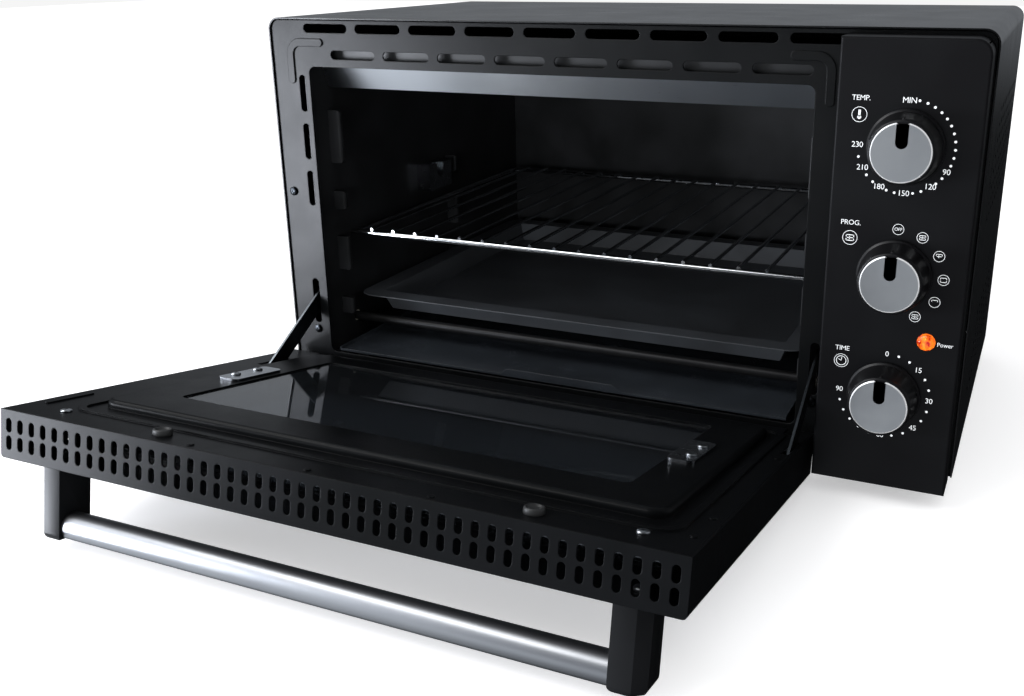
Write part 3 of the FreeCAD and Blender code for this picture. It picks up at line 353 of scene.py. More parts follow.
@dataclass(frozen=True)
class Finish:
    """A surface: its colour, its gloss, and the fine relief that the making leaves."""

    name: str
    colour: str
    second: str
    roughness: float
    spread: float = 0.06
    metallic: float = 0.0
    coat: float = 0.0
    grain_mm: float = 0.8
    relief_mm: float = 0.01
    grain: Grain = Grain.EVEN
    patch_mm: float = 60.0
    edge_mm: float = 0.0
    transmission: float = 0.0
    ior: float = 1.5
    specular: float = 0.5
    glow: float = 0.0

    def material(self) -> bpy.types.Material:
        """Make the material, or find it if it is made already.

        Returns:
            The material.
        """
        made = bpy.data.materials.get(self.name)
        if made is not None:
            return made
        made = bpy.data.materials.new(self.name)
        made.use_nodes = True
        tree = made.node_tree
        tree.nodes.clear()
        place = add_node(tree, "ShaderNodeTexCoord").outputs["Object"]
        settings = {"Metallic": self.metallic, "Coat Weight": self.coat, "Coat Roughness": 0.08,
                    "Transmission Weight": self.transmission, "IOR": self.ior,
                    "Specular IOR Level": self.specular}
        links = {"Base Color": self.tint(tree, place), "Roughness": self.gloss(tree, place),
                 "Normal": self.relief(tree, place)}
        if self.glow:
            settings["Emission Strength"] = self.glow
            links["Emission Color"] = links["Base Color"]
        shader = add_node(tree, "ShaderNodeBsdfPrincipled", settings, links)
        add_node(tree, "ShaderNodeOutputMaterial", links={"Surface": shader.outputs[0]})
        return made

    def tint(self, tree: bpy.types.NodeTree, place: bpy.types.NodeSocket) -> bpy.types.NodeSocket:
        """Drift slowly between the two colours over a few centimetres.

        Args:
            tree: The material's nodes.
            place: The coordinates.

        Returns:
            The colour.
        """
        drift = add_node(tree, "ShaderNodeTexNoise",
                         {"Scale": 1 / (self.patch_mm * MM), "Detail": 2.0, "Roughness": 0.6},
                         {"Vector": place})
        ramp = add_node(tree, "ShaderNodeValToRGB", links={"Fac": drift.outputs["Fac"]})
        ramp.color_ramp.elements[0].position = 0.35
        ramp.color_ramp.elements[0].color = linear(self.colour)
        ramp.color_ramp.elements[1].position = 0.68
        ramp.color_ramp.elements[1].color = linear(self.second)
        return ramp.outputs["Color"]

    def grains(self, tree: bpy.types.NodeTree, place: bpy.types.NodeSocket) -> bpy.types.NodeSocket:
        """Draw the fine grain, stretched along its run.

        Args:
            tree: The material's nodes.
            place: The coordinates.

        Returns:
            The grain's height, from 0 to 1.
        """
        stretch = add_node(tree, "ShaderNodeMapping", {"Scale": self.grain.value}, {"Vector": place})
        noise = add_node(tree, "ShaderNodeTexNoise",
                         {"Scale": 1 / (self.grain_mm * MM), "Detail": 3.0, "Roughness": 0.55},
                         {"Vector": stretch.outputs["Vector"]})
        return noise.outputs["Fac"]

    def gloss(self, tree: bpy.types.NodeTree, place: bpy.types.NodeSocket) -> bpy.types.NodeSocket:
        """Vary the roughness a little with the grain and with slow smudges.

        Args:
            tree: The material's nodes.
            place: The coordinates.

        Returns:
            The roughness.
        """
        smudge = add_node(tree, "ShaderNodeTexNoise",
                          {"Scale": 1 / (self.patch_mm * 0.5 * MM), "Detail": 4.0},
                          {"Vector": place})
        both = add_node(tree, "ShaderNodeMath", {"operation": "ADD"},
                        {0: smudge.outputs["Fac"], 1: self.grains(tree, place)})
        span = add_node(tree, "ShaderNodeMapRange",
                        {"From Min": 0.6, "From Max": 1.4, "To Min": self.roughness - self.spread,
                         "To Max": self.roughness + self.spread},
                        {"Value": both.outputs[0]})
        return span.outputs[0]

    def relief(self, tree: bpy.types.NodeTree, place: bpy.types.NodeSocket) -> bpy.types.NodeSocket:
        """Raise the grain as relief, over softly rounded edges.

        Args:
            tree: The material's nodes.
            place: The coordinates.

        Returns:
            The surface's direction.
        """
        bump = add_node(tree, "ShaderNodeBump",
                        {"Strength": 0.6, "Distance": self.relief_mm * MM},
                        {"Height": self.grains(tree, place)})
        if self.edge_mm:
            edge = add_node(tree, "ShaderNodeBevel", {"samples": 4, "Radius": self.edge_mm * MM})
            tree.links.new(edge.outputs["Normal"], bump.inputs["Normal"])
        return bump.outputs["Normal"]


# Polyester powder coat on steel: satin black, with a fine orange peel that softens reflections.
POWDER_COAT = Finish("powder_coat_satin_black", "#08090a", "#0b0c0e", 0.3, spread=0.05,
                     grain_mm=0.9, relief_mm=0.012, edge_mm=0.7)
# The pressed front frame has the same coat, a little flatter.
FRAME_COAT = Finish("powder_coat_frame_black", "#070809", "#0a0b0c", 0.34, spread=0.05,
                    specular=0.2, grain_mm=0.9, relief_mm=0.012, edge_mm=0.8)
# The door's sheet has the same coat again, dulled by wiping, so it mirrors less.
DOOR_COAT = Finish("powder_coat_wiped_black", "#070809", "#0b0c0e", 0.33, spread=0.06,
                   specular=0.09, grain_mm=0.9, relief_mm=0.01, edge_mm=0.7)
# Dark cavity lining: black non-stick enamel on steel, smooth with a dull sheen.
LINER_ENAMEL = Finish("liner_dark_enamel", "#131415", "#1d1e20", 0.42, spread=0.1,
                      grain_mm=0.5, relief_mm=0.008, patch_mm=35, edge_mm=0.5)
# Polished aluminised strip: a metal mirror clouded along its length by rolling.
BRIGHT_STRIP = Finish("aluminised_strip", "#dfe3e8", "#d6dade", 0.3, spread=0.03,
                      metallic=1.0, grain_mm=0.35, relief_mm=0.002, grain=Grain.ALONG_X)
# Zinc plate on small steel parts: pale grey metal with a faint cloudiness.
ZINC = Finish("zinc_plate", "#b9bcbf", "#9fa3a7", 0.32, metallic=1.0, grain_mm=0.5,
              relief_mm=0.006, patch_mm=8)
# Stay arms: black zinc on spring steel, a dim metal with a soft shine.
ARM_STEEL = Finish("black_zinc_steel", "#6f7479", "#5f6468", 0.3, metallic=1.0, grain_mm=0.6,
                   relief_mm=0.006, patch_mm=15, edge_mm=0.3)
# The frame's screws: blackened heads, so that only their rims shine.
BLACK_ZINC = Finish("black_zinc_plate", "#34373a", "#26282b", 0.28, metallic=1.0, grain_mm=0.5,
                    relief_mm=0.006, patch_mm=8)
# Stainless fittings on the door glass: brushed sheet.
CLIP_STEEL = Finish("stainless_brushed", "#c9ccd0", "#b7babf", 0.24, metallic=1.0, grain_mm=0.3,
                    relief_mm=0.004, grain=Grain.ALONG_X, patch_mm=12)
# Heater tube: oxidised stainless, dark grey with a straw tinge.
HEATER_TUBE = Finish("heater_tube_oxidised", "#1d1d1e", "#262627", 0.42, metallic=0.7,
                     grain_mm=0.6, relief_mm=0.01, patch_mm=25)
# Rack wire: nickel-chrome plate over drawn wire, bright with long soft highlights.
CHROME_WIRE = Finish("chrome_plated_wire", "#d9dbdd", "#c6c9cc", 0.14, spread=0.04, metallic=1.0,
                     grain_mm=0.5, relief_mm=0.003, patch_mm=30)
# Handle tube: ground stainless, the grit running round it and buffed along it.
HANDLE_TUBE = Finish("ground_stainless_tube", "#b6b8bb", "#afb1b5", 0.38, spread=0.03,
                     metallic=1.0, grain_mm=0.2, relief_mm=0.002, grain=Grain.ALONG_X)
# Knob face: satin spun aluminium sheet behind clear lacquer.
KNOB_FACE = Finish("satin_aluminium_disc", "#dddfe0", "#d3d5d7", 0.36, spread=0.03, metallic=1.0,
                   grain_mm=0.3, relief_mm=0.004, grain=Grain.ALONG_X, patch_mm=20)
# The disc's diamond-cut edge: a bare metal chamfer. Its near-white, partly matt colour is a painted
# highlight that keeps it bright from every side.
KNOB_RIM_PAINTED_HIGHLIGHT = Finish("diamond_cut_aluminium_painted_highlight", "#f4f6f8", "#eceef0", 0.38, spread=0.02, metallic=0.55,
                  grain_mm=0.6, relief_mm=0.002)
# Control fascia: ABS with a spark-eroded texture that reads as flat black.
FASCIA_ABS = Finish("abs_spark_eroded", "#08080a", "#0b0c0e", 0.5, spread=0.05,
                    specular=0.18, grain_mm=0.35,
                    relief_mm=0.02, edge_mm=0.6)
# Knob body: gloss-moulded black ABS.
KNOB_ABS = Finish("abs_gloss_black", "#08080a", "#0b0b0d", 0.4, spread=0.05, specular=0.4,
                  grain_mm=1.2, relief_mm=0.003)
# Handle brackets: glass-filled nylon with a satin moulded face.
BRACKET_NYLON = Finish("nylon_satin_black", "#0b0c0d", "#0f1012", 0.34, spread=0.05, specular=0.2,
                       grain_mm=0.6, relief_mm=0.01)
# Foot and bumper mouldings: dull elastomer.
FOOT_RUBBER = Finish("elastomer_foot", "#111112", "#191919", 0.75, grain_mm=0.6, relief_mm=0.03)
BUMPER_SILICONE = Finish("silicone_bumper", "#1a1b1c", "#242526", 0.5, grain_mm=0.6,
                         relief_mm=0.01)
# Pale switch bodies and terminals: phenolic moulding.
SWITCH_BODY = Finish("phenolic_moulding", "#b9b3a4", "#aba595", 0.55, grain_mm=0.5,
                     relief_mm=0.02)
# Heater bushes: glazed steatite ceramic.
STEATITE = Finish("steatite_glazed", "#e6e1d6", "#dcd6ca", 0.25, coat=0.4, grain_mm=0.8,
                  relief_mm=0.01)
# Smoked tempered glass: dark float glass, mirror smooth.
SMOKED_GLASS = Finish("smoked_tempered_glass", "#666c73", "#6b7178", 0.03, spread=0.01,
                      transmission=0.96, ior=1.52, grain_mm=40, relief_mm=0.001)
# Tray: dark grey non-stick enamel with a satin sheen.
TRAY_ENAMEL = Finish("tray_enamel_dark", "#2e3033", "#393c40", 0.34, spread=0.06, grain_mm=0.7,
                     relief_mm=0.012, edge_mm=0.5)
# Crumb sheet: the same dark coat on thin sheet, with wiping marks.
CRUMB_SHEET = Finish("crumb_sheet_dark", "#222529", "#2b2f34", 0.24, spread=0.06, grain_mm=0.7,
                     relief_mm=0.01, edge_mm=0.4)
# Lamp lens: clear red polycarbonate, lit from behind.
LAMP_RED = Finish("polycarbonate_red_lit", "#8c0a03", "#ff7a1e", 0.1, coat=0.8, glow=0.5,
                  grain_mm=1.4, relief_mm=0.3, patch_mm=2.6)
# Pad-printed ink: flat off-white.
INK = Finish("pad_print_white", "#d5d8da", "#cdd0d3", 0.6, grain_mm=0.3, relief_mm=0.004,
             patch_mm=6)


# ---------------------------------------------------------------- frames

@dataclass(frozen=True)
class DoorFrame:
    """The door's own frame: origin on its hinge, Z up the door when it is shut."""

    hinge: Vector
    opened: float

    @classmethod
    def from_joints(cls, joints: list[dict]) -> "DoorFrame":
        """Read the hinge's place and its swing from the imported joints."""
        hinge = next(joint for joint in joints if joint["name"] == "door_hinge")
        return cls(Vector(hinge["pos_m"]), math.radians(max(map(abs, hinge["range_deg"]))))

    @property
    def matrix(self) -> Matrix:
        """The frame's place at rest, with the door open."""
        return Matrix.Translation(self.hinge) @ Matrix.Rotation(self.opened, 4, "X")


class Facing(Enum):
    """How a piece modelled along +Z is turned to face out of a surface."""

    FRONT = 90.0
    BACK = -90.0
    DOWN = 180.0

    @property
    def matrix(self) -> Matrix:
        """The turn as a matrix."""
        return Matrix.Rotation(math.radians(self.value), 4, "X")


class Workshop:
    """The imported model, and the common ways of dressing and replacing its nodes."""

    def __init__(self, frame: dict) -> None:
        """Keep the loaded frame.
        """
        self.nodes: dict[str, bpy.types.Object] = frame["nodes"]
        self.joints: list[dict] = frame["joints"]
        self.door = DoorFrame.from_joints(self.joints)

    def dress(self, finish: Finish, *names: str) -> None:
        """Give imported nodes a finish.

        Args:
            finish: The finish.
            *names: The nodes.
        """
        for name in names:
            data = self.nodes[name].data
            data.materials.clear()
            data.materials.append(finish.material())

    def piece(self, item: bpy.types.Object, name: str, body: str, slot: str,
              finish: Finish | None = None, replaces: tuple[str, ...] = ()) -> bpy.types.Object:
        """Name a finished piece, put it on its body and report it.

        Args:
            item: The finished object.
            name: The piece's name.
            body: The body that it rides on.
            slot: The record's material slot; not used.
            finish: Its finish, if it has only one.
            replaces: The nodes that it stands for.

        Returns:
            The same object.
        """
        item.name = item.data.name = name
        if finish is not None:
            item.data.materials.clear()
            item.data.materials.append(finish.material())
        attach(item, body)
        if replaces:
            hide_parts(*replaces)
        log.info("%s: %d faces", name, len(item.data.polygons))
        return item

    def joint_place(self, name: str) -> Vector:
        """Find where a joint's axis lies."""
        return Vector(next(joint["pos_m"] for joint in self.joints if joint["name"] == name))

    def softened(self, name: str, width: float) -> bpy.types.Object:
        """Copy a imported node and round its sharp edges.

        Args:
            name: The node.
            width: The width of the rounding in metres.

        Returns:
            The copy, merged, closed and rounded.
        """
        source = self.nodes[name]
        item = bpy.data.objects.new(name, source.data.copy())
        bpy.context.scene.collection.objects.link(item)
        only(item)
        bpy.ops.mesh.customdata_custom_splitnormals_clear()
        with editing(item):
            bpy.ops.mesh.select_all(action="SELECT")
            bpy.ops.mesh.remove_doubles(threshold=1e-6)
            bpy.ops.mesh.dissolve_limited(angle_limit=math.radians(0.4))
        bevelled(item, width, segments=3, angle=30)
        return smooth(item)


# ---------------------------------------------------------------- fastenings

@dataclass
class CrossScrew:
    """A pan-head screw with a cross recess, modelled along +Z with its seat at zero."""

    head: float = 3.4
    rise: float = 1.8
    shank: float = 1.5
    length: float = 6.0

    def model(self) -> bpy.types.Object:
        """Turn the screw, press the recess and round it off.

        Returns:
            One screw at the origin.
        """
        edge, rise, shank = self.head, self.rise, self.shank
        item = turned(((-self.length, shank * 0.6), (-self.length + 1, shank), (0, shank),
                       (0, edge * 0.94), (0.2, edge), (rise * 0.45, edge * 0.985),
                       (rise * 0.75, edge * 0.86), (rise * 0.93, edge * 0.62),
                       (rise, edge * 0.3)), 32)
        for turn in (0, 90):
            arm = block(Vector((-edge * 0.52, -edge * 0.12, rise * 0.35)) * MM,
                        Vector((edge * 0.52, edge * 0.12, rise * 1.4)) * MM)
            arm.rotation_euler = (0, 0, math.radians(turn + 24))
            carved(item, settled(arm))
        return smooth(item, 28)


class Fastenings:
    """All the screws that show, and those under the feet and the handle."""

    def __init__(self, shop: Workshop) -> None:
        """Keep the workshop."""
        self.shop = shop

    def fit(self, node: str, body: str, screw: CrossScrew, frame: Matrix, facing: Facing,
            finish: Finish = ZINC) -> None:
        """Put a modelled screw at every solid of a packed group of screws.

        Args:
            node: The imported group.
            body: The body that carries it.
            screw: The screw to model.
            frame: The frame that the screws are square to.
            facing: The way that their heads face.
            finish: What they are plated with.
        """
        model = screw.model()
        twins = []
        for solid in solids(self.shop.nodes[node], frame):
            seat = solid.middle.copy()
            rise = screw.rise * MM
            if facing is Facing.FRONT:
                seat.y = solid.low.y + rise
            elif facing is Facing.BACK:
                seat.y = solid.high.y - rise
            else:
                seat.z = solid.low.z + rise
            twins.append(copied(model, frame @ Matrix.Translation(seat) @ facing.matrix))
        bpy.data.objects.remove(model)
        self.shop.piece(joined(twins), f"{node}_cross_head", body, "plain_steel", finish, (node,))

    def build(self) -> None:
        """Model and fit every group of screws."""
        still = Matrix.Identity(4)
        door = self.shop.door.matrix
        self.fit("frame_screws", "housing", CrossScrew(3.4, 1.8, 1.6, 8.0), still, Facing.FRONT,
                 BLACK_ZINC)
        self.fit("rear_cover_screws", "housing", CrossScrew(3.6, 2.0, 1.7, 8.5), still, Facing.BACK)
        self.fit("foot_screws", "housing", CrossScrew(3.6, 2.0, 1.9, 11.0), still, Facing.DOWN)
        self.fit("door_screws", "door", CrossScrew(3.3, 1.5, 1.5, 2.4), door, Facing.BACK)
        self.fit("handle_screws", "door", CrossScrew(3.8, 2.4, 1.8, 12.0), door, Facing.BACK)


# ---------------------------------------------------------------- controls

@dataclass
class PrintMark:
    """One printed word or number and its place on a dial."""

    text: str
    degrees: float
    reach: float = 26.4
    size: float = 4.6


@dataclass
class Dial:
    """One rotary control: its joint, its nodes and what is printed round it."""

    name: str
    title: str
    marks: tuple[PrintMark, ...] = ()
    dots: tuple[float, ...] = ()
    title_at: tuple[float, float] = (-26.5, 26.4)


def arc(first: float, last: float, count: int) -> tuple[float, ...]:
    """Space angles evenly from the first to the last."""
    return tuple(first + (last - first) * at / (count - 1) for at in range(count))


class Controls:
    """Knobs, lamp and the print on the control fascia."""

    ink_mm: float = 0.08
    title_size: float = 4.2
    dot_reach: float = 26.6
    dot_radius: float = 0.75
    title_ring: tuple[float, float] = (4.2, 0.3)
    mode_ring: tuple[float, float] = (3.1, 0.26)
    mode_reach: float = 27.5
    notch_half: float = 2.7
    notch_end: float = 5.6
    chamfer: float = 0.7

    def __init__(self, shop: Workshop) -> None:
        """Read the fascia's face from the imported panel.

        Args:
            shop: The workshop.
        """
        self.shop = shop
        self.face_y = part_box("control_panel")[0].y
        self.print: list[bpy.types.Object] = []
        self.dials = (
            Dial("temperature", "TEMP.",
                 (PrintMark("MIN", 0, 26.0), PrintMark("90", 119), PrintMark("120", 145),
                  PrintMark("150", 178), PrintMark("180", 209, 26.8), PrintMark("210", 240.6),
                  PrintMark("230", 270, 26.8)),
                 arc(11.5, 110, 11) + (128, 137.5, 157, 167, 189, 199, 218.5, 230, 255)),
            Dial("program", "PROG.", title_at=(-27.1, 29.3)),
            Dial("timer", "TIME",
                 (PrintMark("0", 0), PrintMark("15", 45), PrintMark("30", 90),
                  PrintMark("45", 135), PrintMark("60", 180), PrintMark("90", 270)),
                 arc(15, 30, 2) + arc(60, 75, 2) + arc(105, 120, 2) + arc(150, 165, 2)
                 + arc(195, 255, 5), title_at=(-26.4, 26.7)),
        )

    def build(self) -> None:
        """Make every control."""
        for dial in self.dials:
            self.knob(dial)
            self.scale(dial)
        self.symbols()
        self.lamp()
        self.shop.piece(joined(self.print), "fascia_print", "housing", "panel_plastic", INK)

    def at(self, dial: str, x: float, z: float) -> Vector:
        """Find a point of the fascia's face from a dial's middle.

        Args:
            dial: The dial's name.
            x: Millimetres to the right.
            z: Millimetres up.

        Returns:
            The point on the face.
        """
        middle = self.shop.joint_place(f"{dial}_turn")
        return Vector((middle.x + x * MM, self.face_y, middle.z + z * MM))

    def word(self, text: str, where: Vector, size: float) -> None:
        """Print a word, centred on a point of the face.

        Args:
            text: The word.
            where: Its middle.
            size: Its height in millimetres.
        """
        bpy.ops.object.select_all(action="DESELECT")
        bpy.ops.object.text_add()
        item = bpy.context.active_object
        item.data.body = text
        item.data.size = size * MM
        item.data.extrude = self.ink_mm / 2 * MM
        item.data.align_x = "CENTER"
        item.data.align_y = "CENTER"
        item.data.resolution_u = 3
        item.data.offset = -0.015 * MM
        item.data.space_character = 0.95
        only(item)
        bpy.ops.object.convert(target="MESH")
        item = bpy.context.active_object
        item.location = where
        item.rotation_euler = (math.radians(90), 0, 0)
        self.print.append(settled(item))

    def dot(self, where: Vector, radius: float) -> None:
        """Print a dot."""
        item = turned(((-self.ink_mm / 2, radius), (self.ink_mm / 2, radius)), 14)
        item.matrix_world = Matrix.Translation(where) @ Facing.FRONT.matrix
        self.print.append(settled(item))

    def ring(self, where: Vector, radius: float, width: float) -> None:
        """Print a thin ring.

        Args:
            where: Its middle.
            radius: Its middle radius in millimetres.
            width: The line's width in millimetres.
        """
        bpy.ops.object.select_all(action="DESELECT")
        bpy.ops.mesh.primitive_torus_add(major_radius=radius * MM, minor_radius=width / 2 * MM,
                                         major_segments=36, minor_segments=4)
        item = bpy.context.active_object
        item.scale = (1, 1, self.ink_mm / width)
        item = settled(item)
        item.matrix_world = Matrix.Translation(where) @ Facing.FRONT.matrix
        self.print.append(settled(item))

    def stroke(self, middle: Vector, first: tuple[float, float], last: tuple[float, float],
               width: float) -> None:
        """Print a straight line.

        Args:
            middle: The symbol's middle on the face.
            first: One end in millimetres, right and up from the middle.
            last: The other end.
            width: The line's width in millimetres.
        """
        start, end = Vector((first[0], 0, first[1])), Vector((last[0], 0, last[1]))
        run = end - start
        item = block(Vector((-run.length / 2 - width / 2, -self.ink_mm / 2, -width / 2)) * MM,
                     Vector((run.length / 2 + width / 2, self.ink_mm / 2, width / 2)) * MM)
        item.matrix_world = (Matrix.Translation(middle + (start + end) / 2 * MM)
                             @ Matrix.Rotation(-math.atan2(run.z, run.x), 4, "Y"))
        self.print.append(settled(item))

    def strokes(self, middle: Vector, width: float, *lines: tuple[float, ...]) -> None:
        """Print several lines, each given as its two ends."""
        for line in lines:
            self.stroke(middle, line[:2], line[2:], width)

    def scale(self, dial: Dial) -> None:
        """Print a dial's title, numbers and dots."""
        self.word(dial.title, self.at(dial.name, *dial.title_at), self.title_size)
        for mark in dial.marks:
            angle = math.radians(mark.degrees)
            self.word(mark.text, self.at(dial.name, mark.reach * math.sin(angle),
                                         mark.reach * math.cos(angle)), mark.size)
        for degrees in dial.dots:
            angle = math.radians(degrees)
            self.dot(self.at(dial.name, self.dot_reach * math.sin(angle),
                             self.dot_reach * math.cos(angle)), self.dot_radius)

    def symbols(self) -> None:
        """Print the ringed symbols: thermometer, programmes, clock and lamp word."""
        line = 0.34
        meter = self.at("temperature", -26.9, 17.1)
        self.ring(meter, *self.title_ring)
        self.strokes(meter, 1.3, (0, -0.6, 0, 2.0))
        self.dot(meter + Vector((0, 0, -1.5 * MM)), 1.1)
        clock = self.at("timer", -26.6, 18.6)
        self.ring(clock, *self.title_ring)
        self.ring(clock, 2.9, 0.4)
        self.strokes(clock, line, (0, 0, 0.2, 1.9), (0, 0, -1.5, 0.8))
        modes = self.at("program", -27.0, 20.2)
        self.ring(modes, *self.title_ring)
        self.cavity_symbol(modes, 1.15, True, True, True)
        off = self.at("program", 0, self.mode_reach)
        self.ring(off, *self.mode_ring)
        self.word("OFF", off, 2.7)
        shown = ((30, True, True, True), (60, True, False, True), (90, True, True, False),
                 (120, True, False, False), (150, True, True, True))
        for degrees, above, below, spit in shown:
            angle = math.radians(degrees)
            spot = self.at("program", self.mode_reach * math.sin(angle),
                           self.mode_reach * math.cos(angle))
            self.ring(spot, *self.mode_ring)
            self.cavity_symbol(spot, 0.88, above, below, spit)
        lamp_low, lamp_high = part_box("lamp_lens")
        middle = (lamp_low + lamp_high) / 2
        self.word("Power", Vector((middle.x + 10.7 * MM, self.face_y, middle.z - 1.0 * MM)), 3.6)

    def cavity_symbol(self, middle: Vector, scale: float, above: bool, below: bool,
                      spit: bool) -> None:
        """Print a small oven with its heaters and its turning spit.

        Args:
            middle: The symbol's middle.
            scale: Its size, one for the small rings.
            above: Whether the upper heater is drawn.
            below: Whether the lower heater is drawn.
            spit: Whether the spit is drawn.
        """
        wide, high, line = 1.9 * scale, 1.45 * scale, 0.38 * scale
        for drawn, edge in ((above, high), (below, -high)):
            if drawn:
                self.strokes(middle, line, (-wide, edge, wide, edge),
                             (-wide, edge, -wide, edge * 0.4), (wide, edge, wide, edge * 0.4))
        if spit:
            self.strokes(middle, line, (-wide * 0.7, 0, wide * 0.7, 0),
                         (-0.2, -high * 0.45, -0.2, high * 0.45))

    def knob(self, dial: Dial) -> None:
        """Model a knob body with its pointer ridge, and its notched metal face.

        Args:
            dial: The dial that the knob turns.
        """
        low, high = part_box(f"{dial.name}_knob")
        radius = (high.x - low.x) / 2 / MM
        deep = (high.y - low.y) / MM
        cap_low, cap_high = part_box(f"{dial.name}_knob_cap")
        cap = (cap_high.x - cap_low.x) / 2 / MM
        thick = (cap_high.y - cap_low.y) / MM
        middle = self.shop.joint_place(f"{dial.name}_turn")
        seat = Matrix.Translation((middle.x, high.y, middle.z)) @ Facing.FRONT.matrix
        top = radius - 3.5
        body = turned(((0, radius - 0.3), (0.3, radius), (1.9, radius), (2.4, radius - 0.5),
                       (2.9, radius - 1.1), (deep * 0.45, radius - 2.0),
                       (deep * 0.8, top + 0.55), (deep - 1.1, top + 0.25), (deep - 0.4, top - 0.1),
                       (deep - 0.1, top - 0.5), (deep, top - 1.0), (deep - 0.05, cap + 0.16),
                       (deep - 0.9, cap + 0.12)), 96)
        ridge = block(Vector((-1.1, top - 0.6, 2.0)) * MM, Vector((1.1, top + 0.9, deep - 0.9)) * MM)
        with editing(ridge):
            pick_faces(ridge, lambda face: face.normal.y > 0.9)
            bpy.ops.transform.resize(value=(0.35, 1, 0.96))
        bevelled(ridge, 0.25 * MM, 2)
        applied(body, "BOOLEAN", object=ridge, operation="UNION", solver="EXACT")
        bpy.data.objects.remove(ridge)
        smooth(body, 30)
        body.matrix_world = seat
        self.shop.piece(settled(body), f"{dial.name}_knob_moulding", f"{dial.name}_control",
                        "knob_plastic", KNOB_ABS, (f"{dial.name}_knob",))
        self.cap(dial, cap, thick, Matrix.Translation((middle.x, cap_high.y, middle.z))
                 @ Facing.FRONT.matrix)

    def cap(self, dial: Dial, radius: float, thick: float, seat: Matrix) -> None:
        """Model the metal disc with its notch and its diamond-cut edge, the edge coloured near-white
        as a painted highlight.

        Args:
            dial: The dial that the disc sits on.
            radius: The disc's radius in millimetres.
            thick: Its thickness in millimetres.
            seat: Its place.
        """
        face = turned(((0, radius), (thick, radius)), 96)
        half = self.notch_half
        cutter = block(Vector((-half, self.notch_end, -1)) * MM,
                       Vector((half, radius + 4, thick + 1)) * MM)
        round_end = turned(((-1, half), (thick + 1, half)), 32)
        round_end.location = (0, self.notch_end * MM, 0)
        carved(face, settled(round_end))
        carved(face, cutter)
        with editing(face):
            bpy.ops.mesh.select_all(action="SELECT")
            bpy.ops.mesh.dissolve_limited(angle_limit=math.radians(1))
            bpy.ops.mesh.remove_doubles(threshold=0.02 * MM)
        applied(face, "BEVEL", width=self.chamfer * MM, segments=1, limit_method="ANGLE",
                angle_limit=math.radians(35), use_clamp_overlap=False)
        face.data.materials.append(KNOB_FACE.material())
        face.data.materials.append(KNOB_RIM_PAINTED_HIGHLIGHT.material())
        # The chamfer faces get the near-white rim colour: a painted highlight round the edge and the
        # notch.
        for polygon in face.data.polygons:
            polygon.material_index = 1 if 0.2 < polygon.normal.z < 0.99 else 0
        face.matrix_world = seat
        self.shop.piece(smooth(settled(face), 20), f"{dial.name}_knob_disc",
                        f"{dial.name}_control", "cap_metal", None, (f"{dial.name}_knob_cap",))

    def lamp(self) -> None:
        """Model the faceted lamp lens with its collar."""
        low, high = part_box("lamp_lens")
        radius = (high.x - low.x) / 2 / MM
        lens = turned(((-7.5, 4.4), (0, 4.4), (0, radius - 0.1), (0.7, radius), (1.2, radius - 0.4),
                       (1.9, radius - 1.1), (2.5, radius - 2.2), (2.8, radius - 3.6)), 12)
        middle = (low + high) / 2
        lens.matrix_world = (Matrix.Translation((middle.x, self.face_y, middle.z))
                             @ Facing.FRONT.matrix)
        self.shop.piece(settled(lens), "lamp_lens_faceted", "housing", "lamp_red", LAMP_RED,
                        ("lamp_lens",))


# ---------------------------------------------------------------- small mouldings

class Mouldings:
    """Feet, door bumpers and handle brackets."""

    def __init__(self, shop: Workshop) -> None:
        """Keep the workshop."""
        self.shop = shop

    def build(self) -> None:
        """Model every small moulding."""
        self.feet()
        self.bumpers()
        for side in ("left", "right"):
            name = f"handle_bracket_{side}"
            item = self.shop.softened(name, 0.5 * MM)
            self.shop.piece(item, f"{name}_moulding", "door", "bracket_plastic", BRACKET_NYLON,
                            (name,))

    def feet(self) -> None:
        """Turn a ribbed foot and set one at each place."""
        packed = solids(self.shop.nodes["feet"], Matrix.Identity(4))
        high = (packed[0].high.z - packed[0].low.z) / MM
        foot = turned(((0, 9.6), (0, 10.2), (0.6, 10.6), (3.0, 10.9), (3.4, 10.5), (4.2, 10.6),
                       (4.6, 11.1), (7.4, 11.5), (7.8, 11.1), (8.6, 11.2), (9.0, 11.7),
                       (high - 1, 12.4), (high, 12.3)), 40)
        hollow = turned(((-1, 5.0), (7.0, 4.8), (7.2, 4.4)), 32)
        carved(foot, hollow)
        smooth(foot, 40)
        twins = [copied(foot, Matrix.Translation((solid.middle.x, solid.middle.y, solid.low.z)))
                 for solid in packed]
        bpy.data.objects.remove(foot)
        self.shop.piece(joined(twins), "feet_ribbed", "housing", "foot_plastic", FOOT_RUBBER,
                        ("feet",))

    def bumpers(self) -> None:
        """Turn a cup-faced bumper and set one at each place on the door."""
        frame = self.shop.door.matrix
        dome = turned(((-4, 2.2), (0, 2.2), (0, 5.2), (0.3, 5.4), (2.6, 5.2), (3.2, 4.9),
                       (3.4, 4.4), (3.2, 3.9), (2.4, 3.5), (2.2, 2.8)), 32)
        smooth(dome, 50)
        twins = []
        for solid in solids(self.shop.nodes["door_bumpers"], frame):
            seat = Vector((solid.middle.x, solid.high.y - 3.4 * MM, solid.middle.z))
            twins.append(copied(dome, frame @ Matrix.Translation(seat) @ Facing.BACK.matrix))
        bpy.data.objects.remove(dome)
        self.shop.piece(joined(twins), "door_bumpers_cupped", "door", "bumper_rubber",
                        BUMPER_SILICONE, ("door_bumpers",))


# ---------------------------------------------------------------- dressing

